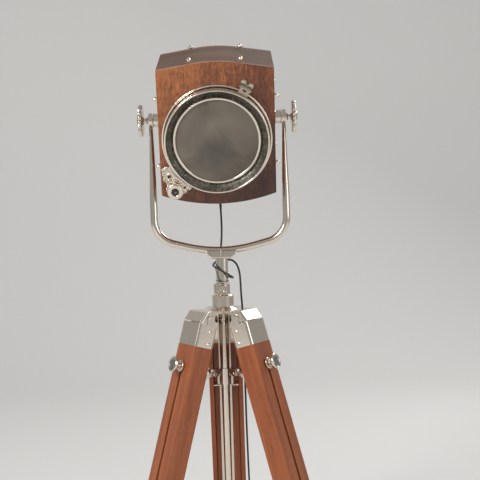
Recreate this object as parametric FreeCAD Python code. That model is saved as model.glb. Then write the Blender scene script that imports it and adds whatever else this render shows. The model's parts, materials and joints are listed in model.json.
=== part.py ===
"""Tabletop searchlight lamp: a wooden lamp head in a bent yoke on a folding
wooden tripod. Millimetres, +Z up, and the lens faces -Y. Pieces are drawn about
the centre tube, and then moved so that the lamp's box, without its cord, stands
on the origin."""
import FreeCAD
import Part
import math
import os

V = FreeCAD.Vector
X, Y, Z = V(1, 0, 0), V(0, 1, 0), V(0, 0, 1)

# Fits and gaps
FIT = 0.05           # radial clearance of a turning or sliding fit
GAP = 0.3            # gap between pieces that move past each other
SKIN = 0.5           # how far a metal cap stands proud of the wood

# Centre tube, collars and crown
TUBE_R = 8.0
TUBE_WALL = 1.2
TUBE_BOTTOM = 100.0
TUBE_Y = -25.9        # where the tube stands in the lamp's box
SADDLE_BOTTOM = 427.0
CROWN_TOP = 360.0
CROWN_PLATE = 3.5
HUB_R = 14.3
HUB_H = 19.0
CLAMP_R = 9.8
CLAMP_H = 15.5
CLAMP_SCREW_R = 6.5
CLAMP_SCREW_LEN = 9.0
STUD_R = 2.0

# Legs
LEG_ANGLES = {"left": 210.0, "right": -30.0, "rear": 90.0}
SPLAY = 16.25
PIVOT_R = 32.0
PIVOT_DROP = 7.5     # how far the leg pivots lie under the crown's top
PIVOT_Z = CROWN_TOP - PIVOT_DROP
LEG_W = 46.0
LEG_T = 26.8
CAP_TOP = 9.4        # distances along the leg are measured from its pivot
CAP_BOTTOM = 39.4
CAP_WALL = 1.6
CAP_CORNER = 4.0
STOP_SLIT = 1.5      # gap between an arm and the leg cap it stops against
EAR_EDGE = 2.0
EAR_ROOM = 0.4
ARM_CORNER = 4.0
FOLD = 12.0
EAR_R = 4.6
EAR_WALL = 2.2
ARM_NOSE_R = 8.0
ARM_TOP_R = 39.0     # how far an arm reaches at its top edge
BOLT_R = 1.8
BOLT_HEAD_R = 3.4
RAIL_W = 6.0
BACK_WALL = 7.0
SLOT_W = 4.6
KNOB_AT = 68.0       # where the clamp knob's stud crosses the leg
SLOT_END = 257.0
OUTER_LEG_END = 300.0
SLAT_T = 11.4
SLAT_TOP = 48.0
FOOT_H = 24.0
FOOT_WALL = 2.6
LEG_KNOB_R = 10.4
LEG_KNOB_T = 6.5
LEG_COLLAR_R = 7.6
LEG_COLLAR_T = 8.0

# Spreader under the crown
SPREADER_Z = 282.0   # top of its flat arms
SPREADER_ARM_R = 25.5
SPREADER_ARM_T = 3.0
SPREADER_SLEEVE_R = 10.4
SPREADER_SLEEVE_H = 21.0
SPREADER_ARM_W = 9.0
LINK_IN_R = 15.0             # inner pin: distance from the axis, and height
LINK_IN_Z = 275.0
LINK_DEPTH = 4.2             # outer pin: depth inside the leg's channel
LINK_OUT_Z = 250.0
LINK_W = 4.0
LINK_H = 3.6
LINK_BOW = 6.0
LINK_EYE_R = 2.6
LINK_PIN_R = 1.3
LINK_PIN_IN_RAIL = 4.0
LINK_PLAY = 1.6              # free play of the outer pin in the rails

# Yoke
YOKE_ROD_R = 5.0
YOKE_BOTTOM = 437.5
YOKE_BOW_R = 180.0
YOKE_BOW_HALF = 45.0
YOKE_CORNER_R = 33.0
PADDLE_T = 5.0
PADDLE_R = 10.0
PADDLE_NECK = 105.0          # how far under the tilt axis the rod turns round
SADDLE_W = 41.0
SADDLE_FOOT = 25.0
SADDLE_D = 21.0
SADDLE_ROUND = 2.0
SADDLE_GROOVE_R = 2.2
SADDLE_GRIP = 4.0            # how far the tube reaches into the saddle

# Lamp head, in its own frame with the tilt axis at its origin
TILT_Z = 610.0
TILT = 17.0
HEAD_W = 147.0
HEAD_FRONT = -63.0
HEAD_BACK = 58.0
EAVE_Z = 77.0
SILL_Z = -84.0
ROOF_RISE = 9.3
ROOF_FLAT = 45.5     # width of each straight slope
KEEL_DROP = 13.0
BOARD = 8.0
FRONT_BOARD = 10.0
BATTEN = 12.0
OPENING_R = 57.0

# Lens door
LENS_Z = -11.5
BASE_RING_R = 70.0
BASE_RING_IN = 67.4
BASE_RING_T = 2.5
BEZEL_R = 66.4
BEZEL_LEN = 14.0
BEZEL_WALL = 4.2
BEZEL_SKIRT = 2.2
DOOR_GAP = 0.5       # between the closed door and the front board
RETAINER_R = 55.2
RETAINER_IN = 52.0
LENS_R = 54.0
LENS_T = 3.0
LENS_DOME = 7.0
HINGE_ANGLE = 60.0
HINGE_AT = 74.5
HINGE_PIN_R = 1.5
KNUCKLE_R = 3.2
KNUCKLE_LEN = 4.2
HINGE_LEAF_T = 2.0
HINGE_LOBE_R = 3.6
HINGE_LOBE_X = 5.2
HINGE_LOBE_Y = 5.0
CATCH_ANGLE = 229.0
CATCH_AT = 84.3
CATCH_KNOB_R = 10.4
CATCH_PLATE_T = 2.2
CATCH_EYE_R = 11.8

# Tilt pivots
TILT_BOSS_R = 9.2
TILT_BOSS_LEN = 10.2
BOSS_GAP = 0.8
TILT_SHAFT_R = 3.25
TILT_KNOB_R = 21.0
TILT_KNOB_NECK = 9.3
TILT_KNOB_T = 6.0
SCALLOPS = 20
YOKE_HALF = HEAD_W / 2 + TILT_BOSS_LEN + BOSS_GAP + PADDLE_T / 2
TILT_KNOB_AT = YOKE_HALF + PADDLE_T / 2 + TILT_KNOB_NECK

# Bought-in fasteners
ACORN_R = 3.2
ACORN_H = 5.6
WASHER_R = 4.4
WASHER_T = 0.8
FRONT_SCREW_R = 1.8
ROOF_NUT_X = 32.0
NUT_Y = 46.0
SIDE_NUT_Z = (38.0, -49.0)

# Lamp and wiring
SOCKET_Y = -2.0
GLAND_Y = 0.0
GLAND_NECK_R = 3.4
GLAND_LEN = 6.0
SOCKET_R = 14.0
SOCKET_LEN = 26.0
BULB_R = 22.0
CORD_R = 1.3
GLAND_R = 5.0
PLUG_LEN = 34.0
ROCKER_TIP = 5.0


def cyl(r, h, at=V(0, 0, 0), along=Z):
    return Part.makeCylinder(r, h, at, along)


def block(x0, x1, y0, y1, z0, z1):
    return Part.makeBox(x1 - x0, y1 - y0, z1 - z0, V(x0, y0, z0))


def polygon(points):
    return Part.Face(Part.makePolygon(points + [points[0]]))


def spun(profile, at=V(0, 0, 0), along=Z):
    """A closed (radius, height) outline turned about its own axis."""
    face = polygon([V(r, 0, h) for r, h in profile])
    solid = face.revolve(V(0, 0, 0), Z, 360)
    solid.Placement = FreeCAD.Placement(at, FreeCAD.Rotation(Z, along))
    return solid


def ring(r_out, r_in, h, at=V(0, 0, 0), along=Z):
    return spun([(r_in, 0), (r_out, 0), (r_out, h), (r_in, h)], at, along)


def turned(shape, about, at, degrees):
    out = shape.copy()
    out.rotate(at, about, degrees)
    return out


def moved(shape, by):
    out = shape.copy()
    out.translate(by)
    return out


def joined(shapes):
    out = shapes[0]
    for shape in shapes[1:]:
        out = out.fuse(shape)
    return out.removeSplitter()


def group(shapes):
    """Separate solids of one kind, kept apart in one node."""
    solids = []
    for shape in shapes:
        solids += shape.Solids
    return Part.makeCompound(solids)


def eased(shape, radius, wanted):
    """Fillet the edges that the test picks out."""
    edges = [e for e in shape.Edges if wanted(e)]
    return shape.makeFillet(radius, edges) if edges else shape


def upright(edge, slack=1e-3):
    a, b = edge.Vertexes[0].Point, edge.Vertexes[-1].Point
    return math.hypot(a.x - b.x, a.y - b.y) < slack < abs(a.z - b.z)


def leg_point(out, down):
    """Radius and height of a point given across and along a leg."""
    c, s = math.cos(math.radians(SPLAY)), math.sin(math.radians(SPLAY))
    return PIVOT_R + out * c + down * s, PIVOT_Z + out * s - down * c


def arm_blank():
    """One crown arm on the X axis: as wide as a leg, with a sloping end and a
    foot cut square to the leg."""
    half = LEG_W / 2 + SKIN
    under = CROWN_TOP - CROWN_PLATE
    foot_r, foot_z = leg_point(LEG_T / 2 + SKIN, CAP_TOP - STOP_SLIT)
    heel_r, heel_z = leg_point(EAR_EDGE, CAP_TOP - STOP_SLIT)
    outline = [(0, CROWN_TOP), (ARM_TOP_R, CROWN_TOP), (foot_r, foot_z), (heel_r, heel_z),
               (heel_r, under), (0, under)]
    body = polygon([V(r, -half, h) for r, h in outline]).extrude(V(0, 2 * half, 0))
    nearest = min(ARM_TOP_R, foot_r) - 0.1
    body = eased(body, ARM_CORNER, lambda e: min(v.Point.x for v in e.Vertexes) > nearest
                 and len({round(v.Point.y, 3) for v in e.Vertexes}) == 1
                 and e.Length > ARM_CORNER)
    inside = half - EAR_WALL - GAP
    nose = cyl(ARM_NOSE_R, 2 * inside, V(PIVOT_R, -inside, PIVOT_Z), Y)
    web = block(PIVOT_R - ARM_NOSE_R, heel_r + 1, -inside, inside, PIVOT_Z, under + 1)
    return joined([body, nose, web])


def ear_outline(grow, y):
    """A rounded ear in the leg's frame, from the cap up round the pivot bolt."""
    r = EAR_R + grow
    low = -(CAP_TOP + CAP_WALL)
    inner, outer = -(LEG_T / 2 + SKIN) - grow, EAR_EDGE + grow
    side_in = V(-r * 0.94, y, r * 0.34)
    side_out = V(r, y, 0)
    arc = Part.Arc(side_in, V(0, y, r), side_out).toShape()
    corners = [side_out, V(outer + 1.0, y, -CAP_TOP / 2), V(outer, y, low), V(inner, y, low), side_in]
    lines = [Part.makeLine(a, b) for a, b in zip(corners, corners[1:])]
    return Part.Face(Part.Wire([arc] + lines))


def make_crown():
    half = LEG_W / 2 + SKIN
    inside = half - EAR_WALL - GAP
    arms = []
    for angle in LEG_ANGLES.values():
        arm = arm_blank()
        for side in (-1, 1):
            y = inside if side > 0 else -inside - 2 * LEG_W
            ear = ear_outline(EAR_ROOM, y).extrude(V(0, 2 * LEG_W, 0))
            for fold in (0, FOLD / 3, FOLD * 2 / 3, FOLD + 1):
                cut = turned(ear, Y, V(0, 0, 0), fold - SPLAY)
                arm = arm.cut(moved(cut, V(PIVOT_R, 0, PIVOT_Z)))
        arm = arm.cut(cyl(BOLT_R + FIT, 4 * half, V(PIVOT_R, -2 * half, PIVOT_Z), Y))
        arms.append(turned(arm, Z, V(0, 0, 0), angle))
    under, top = -CROWN_PLATE, HUB_H
    collar = spun([(0, under), (HUB_R + 6, under), (HUB_R + 6, 0), (HUB_R + 1.2, 3.5), (HUB_R, 4.2),
                   (HUB_R, top - 1), (HUB_R - 1, top), (0, top)], V(0, 0, CROWN_TOP))
    bore = cyl(TUBE_R + FIT, HUB_H + 2 * CROWN_PLATE, V(0, 0, CROWN_TOP - 1.5 * CROWN_PLATE))
    return joined(arms + [collar]).cut(bore)


def make_pivot_bolts():
    half = LEG_W / 2 + SKIN
    head = spun([(0, 0), (BOLT_HEAD_R, 0), (BOLT_HEAD_R, 0.8), (BOLT_HEAD_R - 1.2, 1.8), (0, 1.8)])
    slot = block(-5, 5, -0.35, 0.35, 1.2, 3)
    head = head.cut(slot)
    bolts = []
    for angle in LEG_ANGLES.values():
        shank = cyl(BOLT_R, 2 * half + 0.2, V(0, -half - 0.1, 0), Y)
        ends = [turned(head, X, V(0, 0, 0), -90), turned(head, X, V(0, 0, 0), 90)]
        ends = [moved(ends[0], V(0, half + 0.1, 0)), moved(ends[1], V(0, -half - 0.1, 0))]
        bolt = moved(joined([shank] + ends), V(PIVOT_R, 0, PIVOT_Z))
        bolts.append(turned(bolt, Z, V(0, 0, 0), angle))
    return group(bolts)


def in_leg(shape, angle):
    """Place a shape made in a leg's frame: X outwards, Y across, -Z down the
    leg, and the pivot at its origin."""
    out = turned(shape, Y, V(0, 0, 0), -SPLAY)
    out.translate(V(PIVOT_R, 0, PIVOT_Z))
    out.rotate(V(0, 0, 0), Z, angle)
    return out


def leg_prism(grow, top, bottom, corner):
    """The leg's section, grown, from one distance down the leg to another."""
    a, b = LEG_T / 2 + grow, LEG_W / 2 + grow
    body = block(-a, a, -b, b, -bottom, -top)
    return eased(body, corner, upright)


def make_leg_cap():
    """A folded metal cap over the top of a leg, with its two ears and screws."""
    shell = leg_prism(SKIN, CAP_TOP, CAP_BOTTOM, CAP_CORNER)
    inside = leg_prism(SKIN - CAP_WALL, CAP_TOP + CAP_WALL, CAP_BOTTOM + 1, CAP_CORNER - CAP_WALL)
    cap = shell.cut(inside)
    half = LEG_W / 2 + SKIN
    for y in (half - EAR_WALL, -half):
        cap = cap.fuse(ear_outline(0, y).extrude(V(0, EAR_WALL, 0)))
    cap = cap.cut(block(-LEG_T, LEG_T, -half + EAR_WALL, half - EAR_WALL, -CAP_TOP, EAR_R + 1))
    cap = cap.cut(cyl(BOLT_R + FIT, 4 * half, V(0, -2 * half, 0), Y)).removeSplitter()
    screws = []
    for side in (-1, 1):
        for out, down in ((-4.5, CAP_TOP + 9), (-6.0, CAP_BOTTOM - 5.5)):
            screws.append(round_screw(V(out, side * half, -down), V(0, side, 0)))
    return group([cap] + screws)


def round_screw(at, outwards, r=2.3):
    """A small slotted round head standing on a surface."""
    head = spun([(0, 0), (r, 0), (r * 0.8, r * 0.4), (r * 0.35, r * 0.6), (0, r * 0.6)])
    head = head.cut(block(-r, r, -0.25, 0.25, r * 0.35, r))
    head.Placement = FreeCAD.Placement(at, FreeCAD.Rotation(Z, outwards))
    return head


def make_leg_outer():
    """The upper leg: a wooden channel, open on its inner side, whose back wall
    is slotted for the clamp knob's stud."""
    body = leg_prism(0, CAP_BOTTOM, OUTER_LEG_END, 1.2)
    neck = leg_prism(SKIN - CAP_WALL, CAP_TOP + CAP_WALL, CAP_BOTTOM, CAP_CORNER - CAP_WALL)
    back = LEG_T / 2 - BACK_WALL
    rail = LEG_W / 2 - RAIL_W
    body = body.fuse(neck).removeSplitter()
    body = body.cut(block(-LEG_T, back, -rail, rail, -OUTER_LEG_END - 1, -SLAT_TOP + 1.5))
    slot = block(0, LEG_T, -SLOT_W / 2, SLOT_W / 2, -SLOT_END + SLOT_W / 2, -KNOB_AT)
    ends = [cyl(SLOT_W / 2, LEG_T, V(0, 0, -down), X) for down in (KNOB_AT, SLOT_END - SLOT_W / 2)]
    body = body.cut(joined([slot] + ends))
    out, down = link_outer_pin()
    for side in (-1, 1):
        start = V(out, side * (rail - 1), -down)
        body = body.cut(cyl(LINK_PIN_R + LINK_PLAY, LINK_PIN_IN_RAIL + 2, start, V(0, side, 0)))
    return body


def link_outer_pin():
    """Where a spreader link's outer pin crosses the leg, in the leg's frame."""
    out = -LEG_T / 2 + LINK_DEPTH
    s, c = math.sin(math.radians(SPLAY)), math.cos(math.radians(SPLAY))
    return out, (PIVOT_Z + out * s - LINK_OUT_Z) / c


def make_leg_inner():
    """The sliding slat inside the upper leg."""
    back = LEG_T / 2 - BACK_WALL - GAP
    rail = LEG_W / 2 - RAIL_W - GAP
    slat = block(back - SLAT_T, back, -rail, rail, -foot_start() - FOOT_H + 6, -SLAT_TOP)
    slat = eased(slat, 1.0, upright)
    return slat.cut(cyl(STUD_R + FIT, LEG_T, V(stud_tip() - GAP, 0, -KNOB_AT), X))


def stud_tip():
    """How deep the clamp knob's stud reaches, across the leg."""
    return LEG_T / 2 - BACK_WALL - GAP - SLAT_T + 2


def foot_start():
    """Distance down the leg at which the foot begins."""
    return PIVOT_Z / math.cos(math.radians(SPLAY)) - FOOT_H - 4


def make_leg_foot():
    """A rubber cup on the slat's end, moulded flat for the floor. It is made
    in the leg's frame and cut level afterwards."""
    back = LEG_T / 2 - BACK_WALL - GAP
    rail = LEG_W / 2 - RAIL_W - GAP
    w = FOOT_WALL
    top = -foot_start()
    cup = block(back - SLAT_T - w, back + w, -rail - w, rail + w, top - FOOT_H - 30, top)
    cup = eased(cup, 3.0, upright)
    hollow = block(back - SLAT_T, back, -rail, rail, top - FOOT_H + 6, top + 1)
    hollow = eased(hollow, 1.0, upright)
    return cup.cut(hollow)


def make_leg_knob():
    """The clamp knob: a dished disc, its neck, a flanged collar and the stud
    that is screwed into the sliding slat."""
    face = LEG_T / 2 + GAP
    stud_len = face - stud_tip()
    at = V(0, 0, -KNOB_AT)
    r, neck, top = LEG_KNOB_R, LEG_COLLAR_T, LEG_COLLAR_T + LEG_KNOB_T
    outline = [(0, 0), (LEG_COLLAR_R - 0.8, 0), (LEG_COLLAR_R, 0.8), (LEG_COLLAR_R, 2.4),
               (LEG_COLLAR_R - 0.8, 3.2), (3.6, 3.6), (3.2, neck + 1.5), (r - 1, neck + 2.2), (r, neck + 3.2),
               (r, top - 1), (r - 0.6, top - 0.2), (r - 1.4, top), (r - 2.0, top - 0.3), (r * 0.6, top - 1.6),
               (0, top - 2.0)]
    knob = spun(outline, at + V(face, 0, 0), X)
    return joined([knob, cyl(STUD_R, stud_len, at + V(face - stud_len, 0, 0), X)])


def make_spreader_hub():
    """A sleeve on the centre tube with three flat arms, forked underneath."""
    sleeve = cyl(SPREADER_SLEEVE_R, SPREADER_SLEEVE_H, V(0, 0, SPREADER_Z - SPREADER_SLEEVE_H))
    parts = [sleeve]
    gap = LINK_W / 2 + GAP
    for angle in LEG_ANGLES.values():
        w = SPREADER_ARM_W / 2
        flat = block(0, SPREADER_ARM_R - w, -w, w, SPREADER_Z - SPREADER_ARM_T, SPREADER_Z)
        tip = cyl(w, SPREADER_ARM_T, V(SPREADER_ARM_R - w, 0, SPREADER_Z - SPREADER_ARM_T))
        arm = [flat, tip]
        for y in (gap, -w):
            lug = cyl(LINK_EYE_R + 0.6, w - gap, V(LINK_IN_R, y, LINK_IN_Z), Y)
            post = block(LINK_IN_R - LINK_EYE_R - 0.6, LINK_IN_R + LINK_EYE_R + 0.6, y, y + w - gap,
                         LINK_IN_Z, SPREADER_Z - SPREADER_ARM_T + 0.5)
            arm += [lug, post]
        parts.append(turned(joined(arm), Z, V(0, 0, 0), angle))
    bore = cyl(TUBE_R + FIT, 2 * SPREADER_SLEEVE_H, V(0, 0, SPREADER_Z - 1.5 * SPREADER_SLEEVE_H))
    hub = joined(parts).cut(bore)
    for angle in LEG_ANGLES.values():
        hole = cyl(LINK_PIN_R, SPREADER_ARM_W, V(LINK_IN_R, -SPREADER_ARM_W / 2, LINK_IN_Z), Y)
        hub = hub.cut(turned(hole, Z, V(0, 0, 0), angle))
    return hub


def make_spreader_pins():
    pins = []
    for angle in LEG_ANGLES.values():
        length = SPREADER_ARM_W + 1.6
        pin = cyl(LINK_PIN_R, length, V(LINK_IN_R, -length / 2, LINK_IN_Z), Y)
        pins.append(turned(pin, Z, V(0, 0, 0), angle))
    return group(pins)


def make_spreader_link():
    """A bowed strap from the hub's fork to the leg, on the X axis. Its outer
    pin crosses the channel and floats in the rails."""
    out, down = link_outer_pin()
    far_r, far_z = leg_point(out, down)
    a, b = V(LINK_IN_R, 0, LINK_IN_Z), V(far_r, 0, far_z)
    chord = b - a
    side = V(-chord.z, 0, chord.x).normalize()
    half = V(0, LINK_W / 2, 0)
    upper = Part.Arc(a + side * LINK_H / 2 - half, (a + b) * 0.5 + side * (LINK_BOW + LINK_H / 2) - half,
                     b + side * LINK_H / 2 - half)
    lower = Part.Arc(b - side * LINK_H / 2 - half, (a + b) * 0.5 + side * (LINK_BOW - LINK_H / 2) - half,
                     a - side * LINK_H / 2 - half)
    ends = [Part.makeLine(upper.EndPoint, lower.StartPoint), Part.makeLine(lower.EndPoint, upper.StartPoint)]
    strap = Part.Face(Part.Wire([upper.toShape(), ends[0], lower.toShape(), ends[1]])).extrude(half * 2)
    eyes = [cyl(LINK_EYE_R, LINK_W, p - half, Y) for p in (a, b)]
    link = joined([strap] + eyes).cut(cyl(LINK_PIN_R + FIT, 2 * LINK_W, a - half * 2, Y))
    reach = LEG_W / 2 - RAIL_W + LINK_PIN_IN_RAIL
    return joined([link, cyl(LINK_PIN_R, 2 * reach, b - V(0, reach, 0), Y)])


def make_centre_tube():
    top = SADDLE_BOTTOM + SADDLE_GRIP
    return ring(TUBE_R, TUBE_R - TUBE_WALL, top - TUBE_BOTTOM, V(0, 0, TUBE_BOTTOM))


def make_tube_plug():
    """A domed cap closing the tube's lower end."""
    inner = TUBE_R - TUBE_WALL
    outline = [(0, 8), (inner, 8), (inner, 0), (TUBE_R, 0), (TUBE_R - 0.6, -1.6), (0, -2.4)]
    return spun(outline, V(0, 0, TUBE_BOTTOM))


def make_clamp_collar():
    """The split collar that stands on the crown's hub and grips the tube."""
    base = CROWN_TOP + HUB_H + 0.1
    body = spun([(0, 0), (CLAMP_R - 0.4, 0), (CLAMP_R, 0.6), (CLAMP_R, CLAMP_H - 0.8),
                 (CLAMP_R - 0.8, CLAMP_H), (0, CLAMP_H)], V(0, 0, base))
    mid = base + CLAMP_H / 2
    boss = cyl(CLAMP_SCREW_R - 1.2, CLAMP_R + 1.5, V(0, 0, mid), -Y)
    ear = block(-CLAMP_R - 1.6, 0, -2.4, 2.4, base + 1.5, base + CLAMP_H - 1.5)
    body = joined([body, boss, ear])
    body = body.cut(cyl(TUBE_R + FIT, 40, V(0, 0, base - 10)))
    body = body.cut(block(-CLAMP_R - 3, -TUBE_R + 0.5, -0.5, 0.5, base - 1, base + CLAMP_H + 1))
    return body.cut(cyl(STUD_R + FIT, 30, V(0, -TUBE_R + 2, mid), -Y))


def make_clamp_screw():
    mid = CROWN_TOP + HUB_H + 0.1 + CLAMP_H / 2
    start = V(0, -CLAMP_R - 1.5 - GAP, mid)
    r = CLAMP_SCREW_R
    head = spun([(0, 0), (r - 1, 0), (r, 1), (r, CLAMP_SCREW_LEN - 1), (r - 1, CLAMP_SCREW_LEN),
                 (2.6, CLAMP_SCREW_LEN), (2.2, CLAMP_SCREW_LEN - 1.2), (0, CLAMP_SCREW_LEN - 1.2)], start, -Y)
    head = head.cut(fluting(r, CLAMP_SCREW_LEN, 16, 0.7, start, -Y))
    stud = cyl(STUD_R, CLAMP_R + 1.5 + GAP - TUBE_R - FIT, start, Y)
    return joined([head, stud])


def fluting(r, length, count, groove, at, along):
    """Round grooves along a knob's rim, to cut away."""
    cutters = []
    for i in range(count):
        a = math.tau * i / count
        out = r + groove * 0.35
        cutters.append(cyl(groove, length + 2, V(out * math.cos(a), out * math.sin(a), -1)))
    out = Part.makeCompound(cutters)
    out.Placement = FreeCAD.Placement(at, FreeCAD.Rotation(Z, along))
    return out


def yoke_rod():
    """The round bar bent into a shallow bow with two upright arms."""
    lean = math.asin(YOKE_BOW_HALF / YOKE_BOW_R)
    bow_z = YOKE_BOTTOM + YOKE_BOW_R * (1 - math.cos(lean))
    corner_x = YOKE_HALF - YOKE_CORNER_R * (1 - math.sin(lean))
    corner_z = bow_z + (corner_x - YOKE_BOW_HALF) * math.tan(lean)
    centre = V(YOKE_HALF - YOKE_CORNER_R, 0, corner_z + YOKE_CORNER_R * math.cos(lean))
    mid = (lean - math.pi / 2) / 2
    elbow = V(centre.x + YOKE_CORNER_R * math.cos(mid), 0, centre.z + YOKE_CORNER_R * math.sin(mid))
    neck = TILT_Z - PADDLE_NECK

    def mirror(p):
        return V(-p.x, p.y, p.z)

    bow = V(YOKE_BOW_HALF, 0, bow_z)
    corner = V(corner_x, 0, corner_z)
    upright_at = V(YOKE_HALF, 0, centre.z)
    top = V(YOKE_HALF, 0, neck)
    path = Part.Wire([
        Part.makeLine(mirror(top), mirror(upright_at)),
        Part.Arc(mirror(upright_at), mirror(elbow), mirror(corner)).toShape(),
        Part.makeLine(mirror(corner), mirror(bow)),
        Part.Arc(mirror(bow), V(0, 0, YOKE_BOTTOM), bow).toShape(),
        Part.makeLine(bow, corner),
        Part.Arc(corner, elbow, upright_at).toShape(),
        Part.makeLine(upright_at, top)])
    section = Part.Wire(Part.makeCircle(YOKE_ROD_R, mirror(top), Z))
    return path.makePipeShell([section], True, False)


def oval(rx, ry, x, z):
    """A round or oval section across an arm of the yoke, its long axis along Y."""
    if ry > rx:
        return Part.Wire(Part.Ellipse(V(x, ry, z), V(x + rx, 0, z), V(x, 0, z)).toShape())
    return Part.Wire(turned(Part.makeCircle(rx, V(x, 0, z), Z), Z, V(x, 0, z), 90))


def make_yoke_fork():
    parts = [yoke_rod()]
    neck, low = TILT_Z - PADDLE_NECK, TILT_Z - PADDLE_R - 4
    half = PADDLE_T / 2
    for side in (-1, 1):
        x = side * YOKE_HALF
        taper = Part.makeLoft([oval(YOKE_ROD_R, YOKE_ROD_R, x, neck),
                               oval(YOKE_ROD_R - 1.2, YOKE_ROD_R + 0.8, x, (neck + low) / 2),
                               oval(half, PADDLE_R - 1.5, x, low)], True, False)
        eye = cyl(PADDLE_R, PADDLE_T, V(x - half, 0, TILT_Z), X)
        web = Part.makeLoft([oval(half, PADDLE_R - 1.5, x, low),
                             oval(half - 0.4, PADDLE_R - 1.5, x, TILT_Z - 2)], True, False)
        parts += [taper, web, eye]
    fork = joined(parts)
    return fork.cut(cyl(TILT_SHAFT_R + FIT, 4 * YOKE_HALF, V(-2 * YOKE_HALF, 0, TILT_Z), X))


def make_yoke_saddle():
    """The cast saddle that seats the bow on the centre tube: two rounded lobes
    with a groove between them."""
    w, foot, d = SADDLE_W / 2, SADDLE_FOOT / 2, SADDLE_D / 2
    low, top = SADDLE_BOTTOM, YOKE_BOTTOM + 0.5
    tall = top - low
    side = [(foot, low), (w - 2.0, low + tall * 0.33), (w, low + tall * 0.75), (w, top)]
    outline = side + [(-x, z) for x, z in side[::-1]]
    body = polygon([V(x, -d, z) for x, z in outline]).extrude(V(0, 2 * d, 0))
    body = body.makeFillet(SADDLE_ROUND, body.Edges)
    body = body.cut(cyl(TUBE_R, 2 * SADDLE_GRIP, V(0, 0, low - SADDLE_GRIP))).cut(yoke_rod())
    for y in (-d, d):
        body = body.cut(cyl(SADDLE_GROOVE_R, tall, V(0, y, low + SADDLE_GRIP + GAP)))
    return body


def in_head(shape):
    """Place a shape made in the head's frame, tilted down at the front."""
    out = turned(shape, X, V(0, 0, 0), TILT)
    out.translate(V(0, 0, TILT_Z))
    return out


def head_outline(inset, y):
    """The head's section: flat sides, a shallow roof with a rounded ridge and
    a bowed underside."""
    half, eave, sill = HEAD_W / 2 - inset, EAVE_Z - inset, SILL_Z + inset
    ridge = HEAD_W / 2 - ROOF_FLAT
    slope = ROOF_RISE / (ROOF_FLAT + ridge / 2)
    hip = eave + slope * (half - ridge)
    top = hip + slope * ridge / 2
    eave_l, eave_r, hip_l, hip_r = V(-half, y, eave), V(half, y, eave), V(-ridge, y, hip), V(ridge, y, hip)
    sill_l, sill_r = V(-half, y, sill), V(half, y, sill)
    keel = V(0, y, sill - KEEL_DROP * (half / (HEAD_W / 2)) ** 2)
    return Part.Wire([
        Part.makeLine(eave_l, hip_l), Part.Arc(hip_l, V(0, y, top), hip_r).toShape(),
        Part.makeLine(hip_r, eave_r), Part.makeLine(eave_r, sill_r),
        Part.Arc(sill_r, keel, sill_l).toShape(), Part.makeLine(sill_l, eave_l)])


def roof_height(x):
    ridge = HEAD_W / 2 - ROOF_FLAT
    slope = ROOF_RISE / (ROOF_FLAT + ridge / 2)
    return EAVE_Z + slope * (HEAD_W / 2 - abs(x)), slope


def nut_places():
    """(point, outward direction) of each acorn nut on the roof and sides."""
    places = []
    rise, slope = roof_height(ROOF_NUT_X)
    for y in (-NUT_Y, NUT_Y):
        for side in (-1, 1):
            places.append((V(side * ROOF_NUT_X, y, rise), V(side * slope, 0, 1).normalize()))
            for z in SIDE_NUT_Z:
                places.append((V(side * HEAD_W / 2, y, z), V(side, 0, 0)))
    return places


def make_studs():
    return [cyl(STUD_R, BOARD + BATTEN - 2, at, out * -1) for at, out in nut_places()]


def make_acorn_nuts():
    """A washer and a domed hexagon nut on each stud of the panels."""
    corner = ACORN_R * 1.1
    hexagon = [V(corner * math.cos(math.tau * i / 6), corner * math.sin(math.tau * i / 6), WASHER_T)
               for i in range(6)]
    body = polygon(hexagon).extrude(V(0, 0, ACORN_H * 0.45))
    dome = spun([(0, 0), (WASHER_R, 0), (WASHER_R, WASHER_T), (ACORN_R - 0.2, WASHER_T),
                 (ACORN_R - 0.2, ACORN_H * 0.55), (ACORN_R - 0.7, ACORN_H * 0.8), (ACORN_R * 0.5, ACORN_H),
                 (0, ACORN_H + WASHER_T)])
    stud = cyl(STUD_R, BOARD + BATTEN - 2, V(0, 0, 0), -Z)
    nut = joined([body, dome, stud])
    nuts = []
    for at, out in nut_places():
        one = nut.copy()
        one.Placement = FreeCAD.Placement(at, FreeCAD.Rotation(Z, out))
        nuts.append(one)
    return group(nuts)


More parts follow.
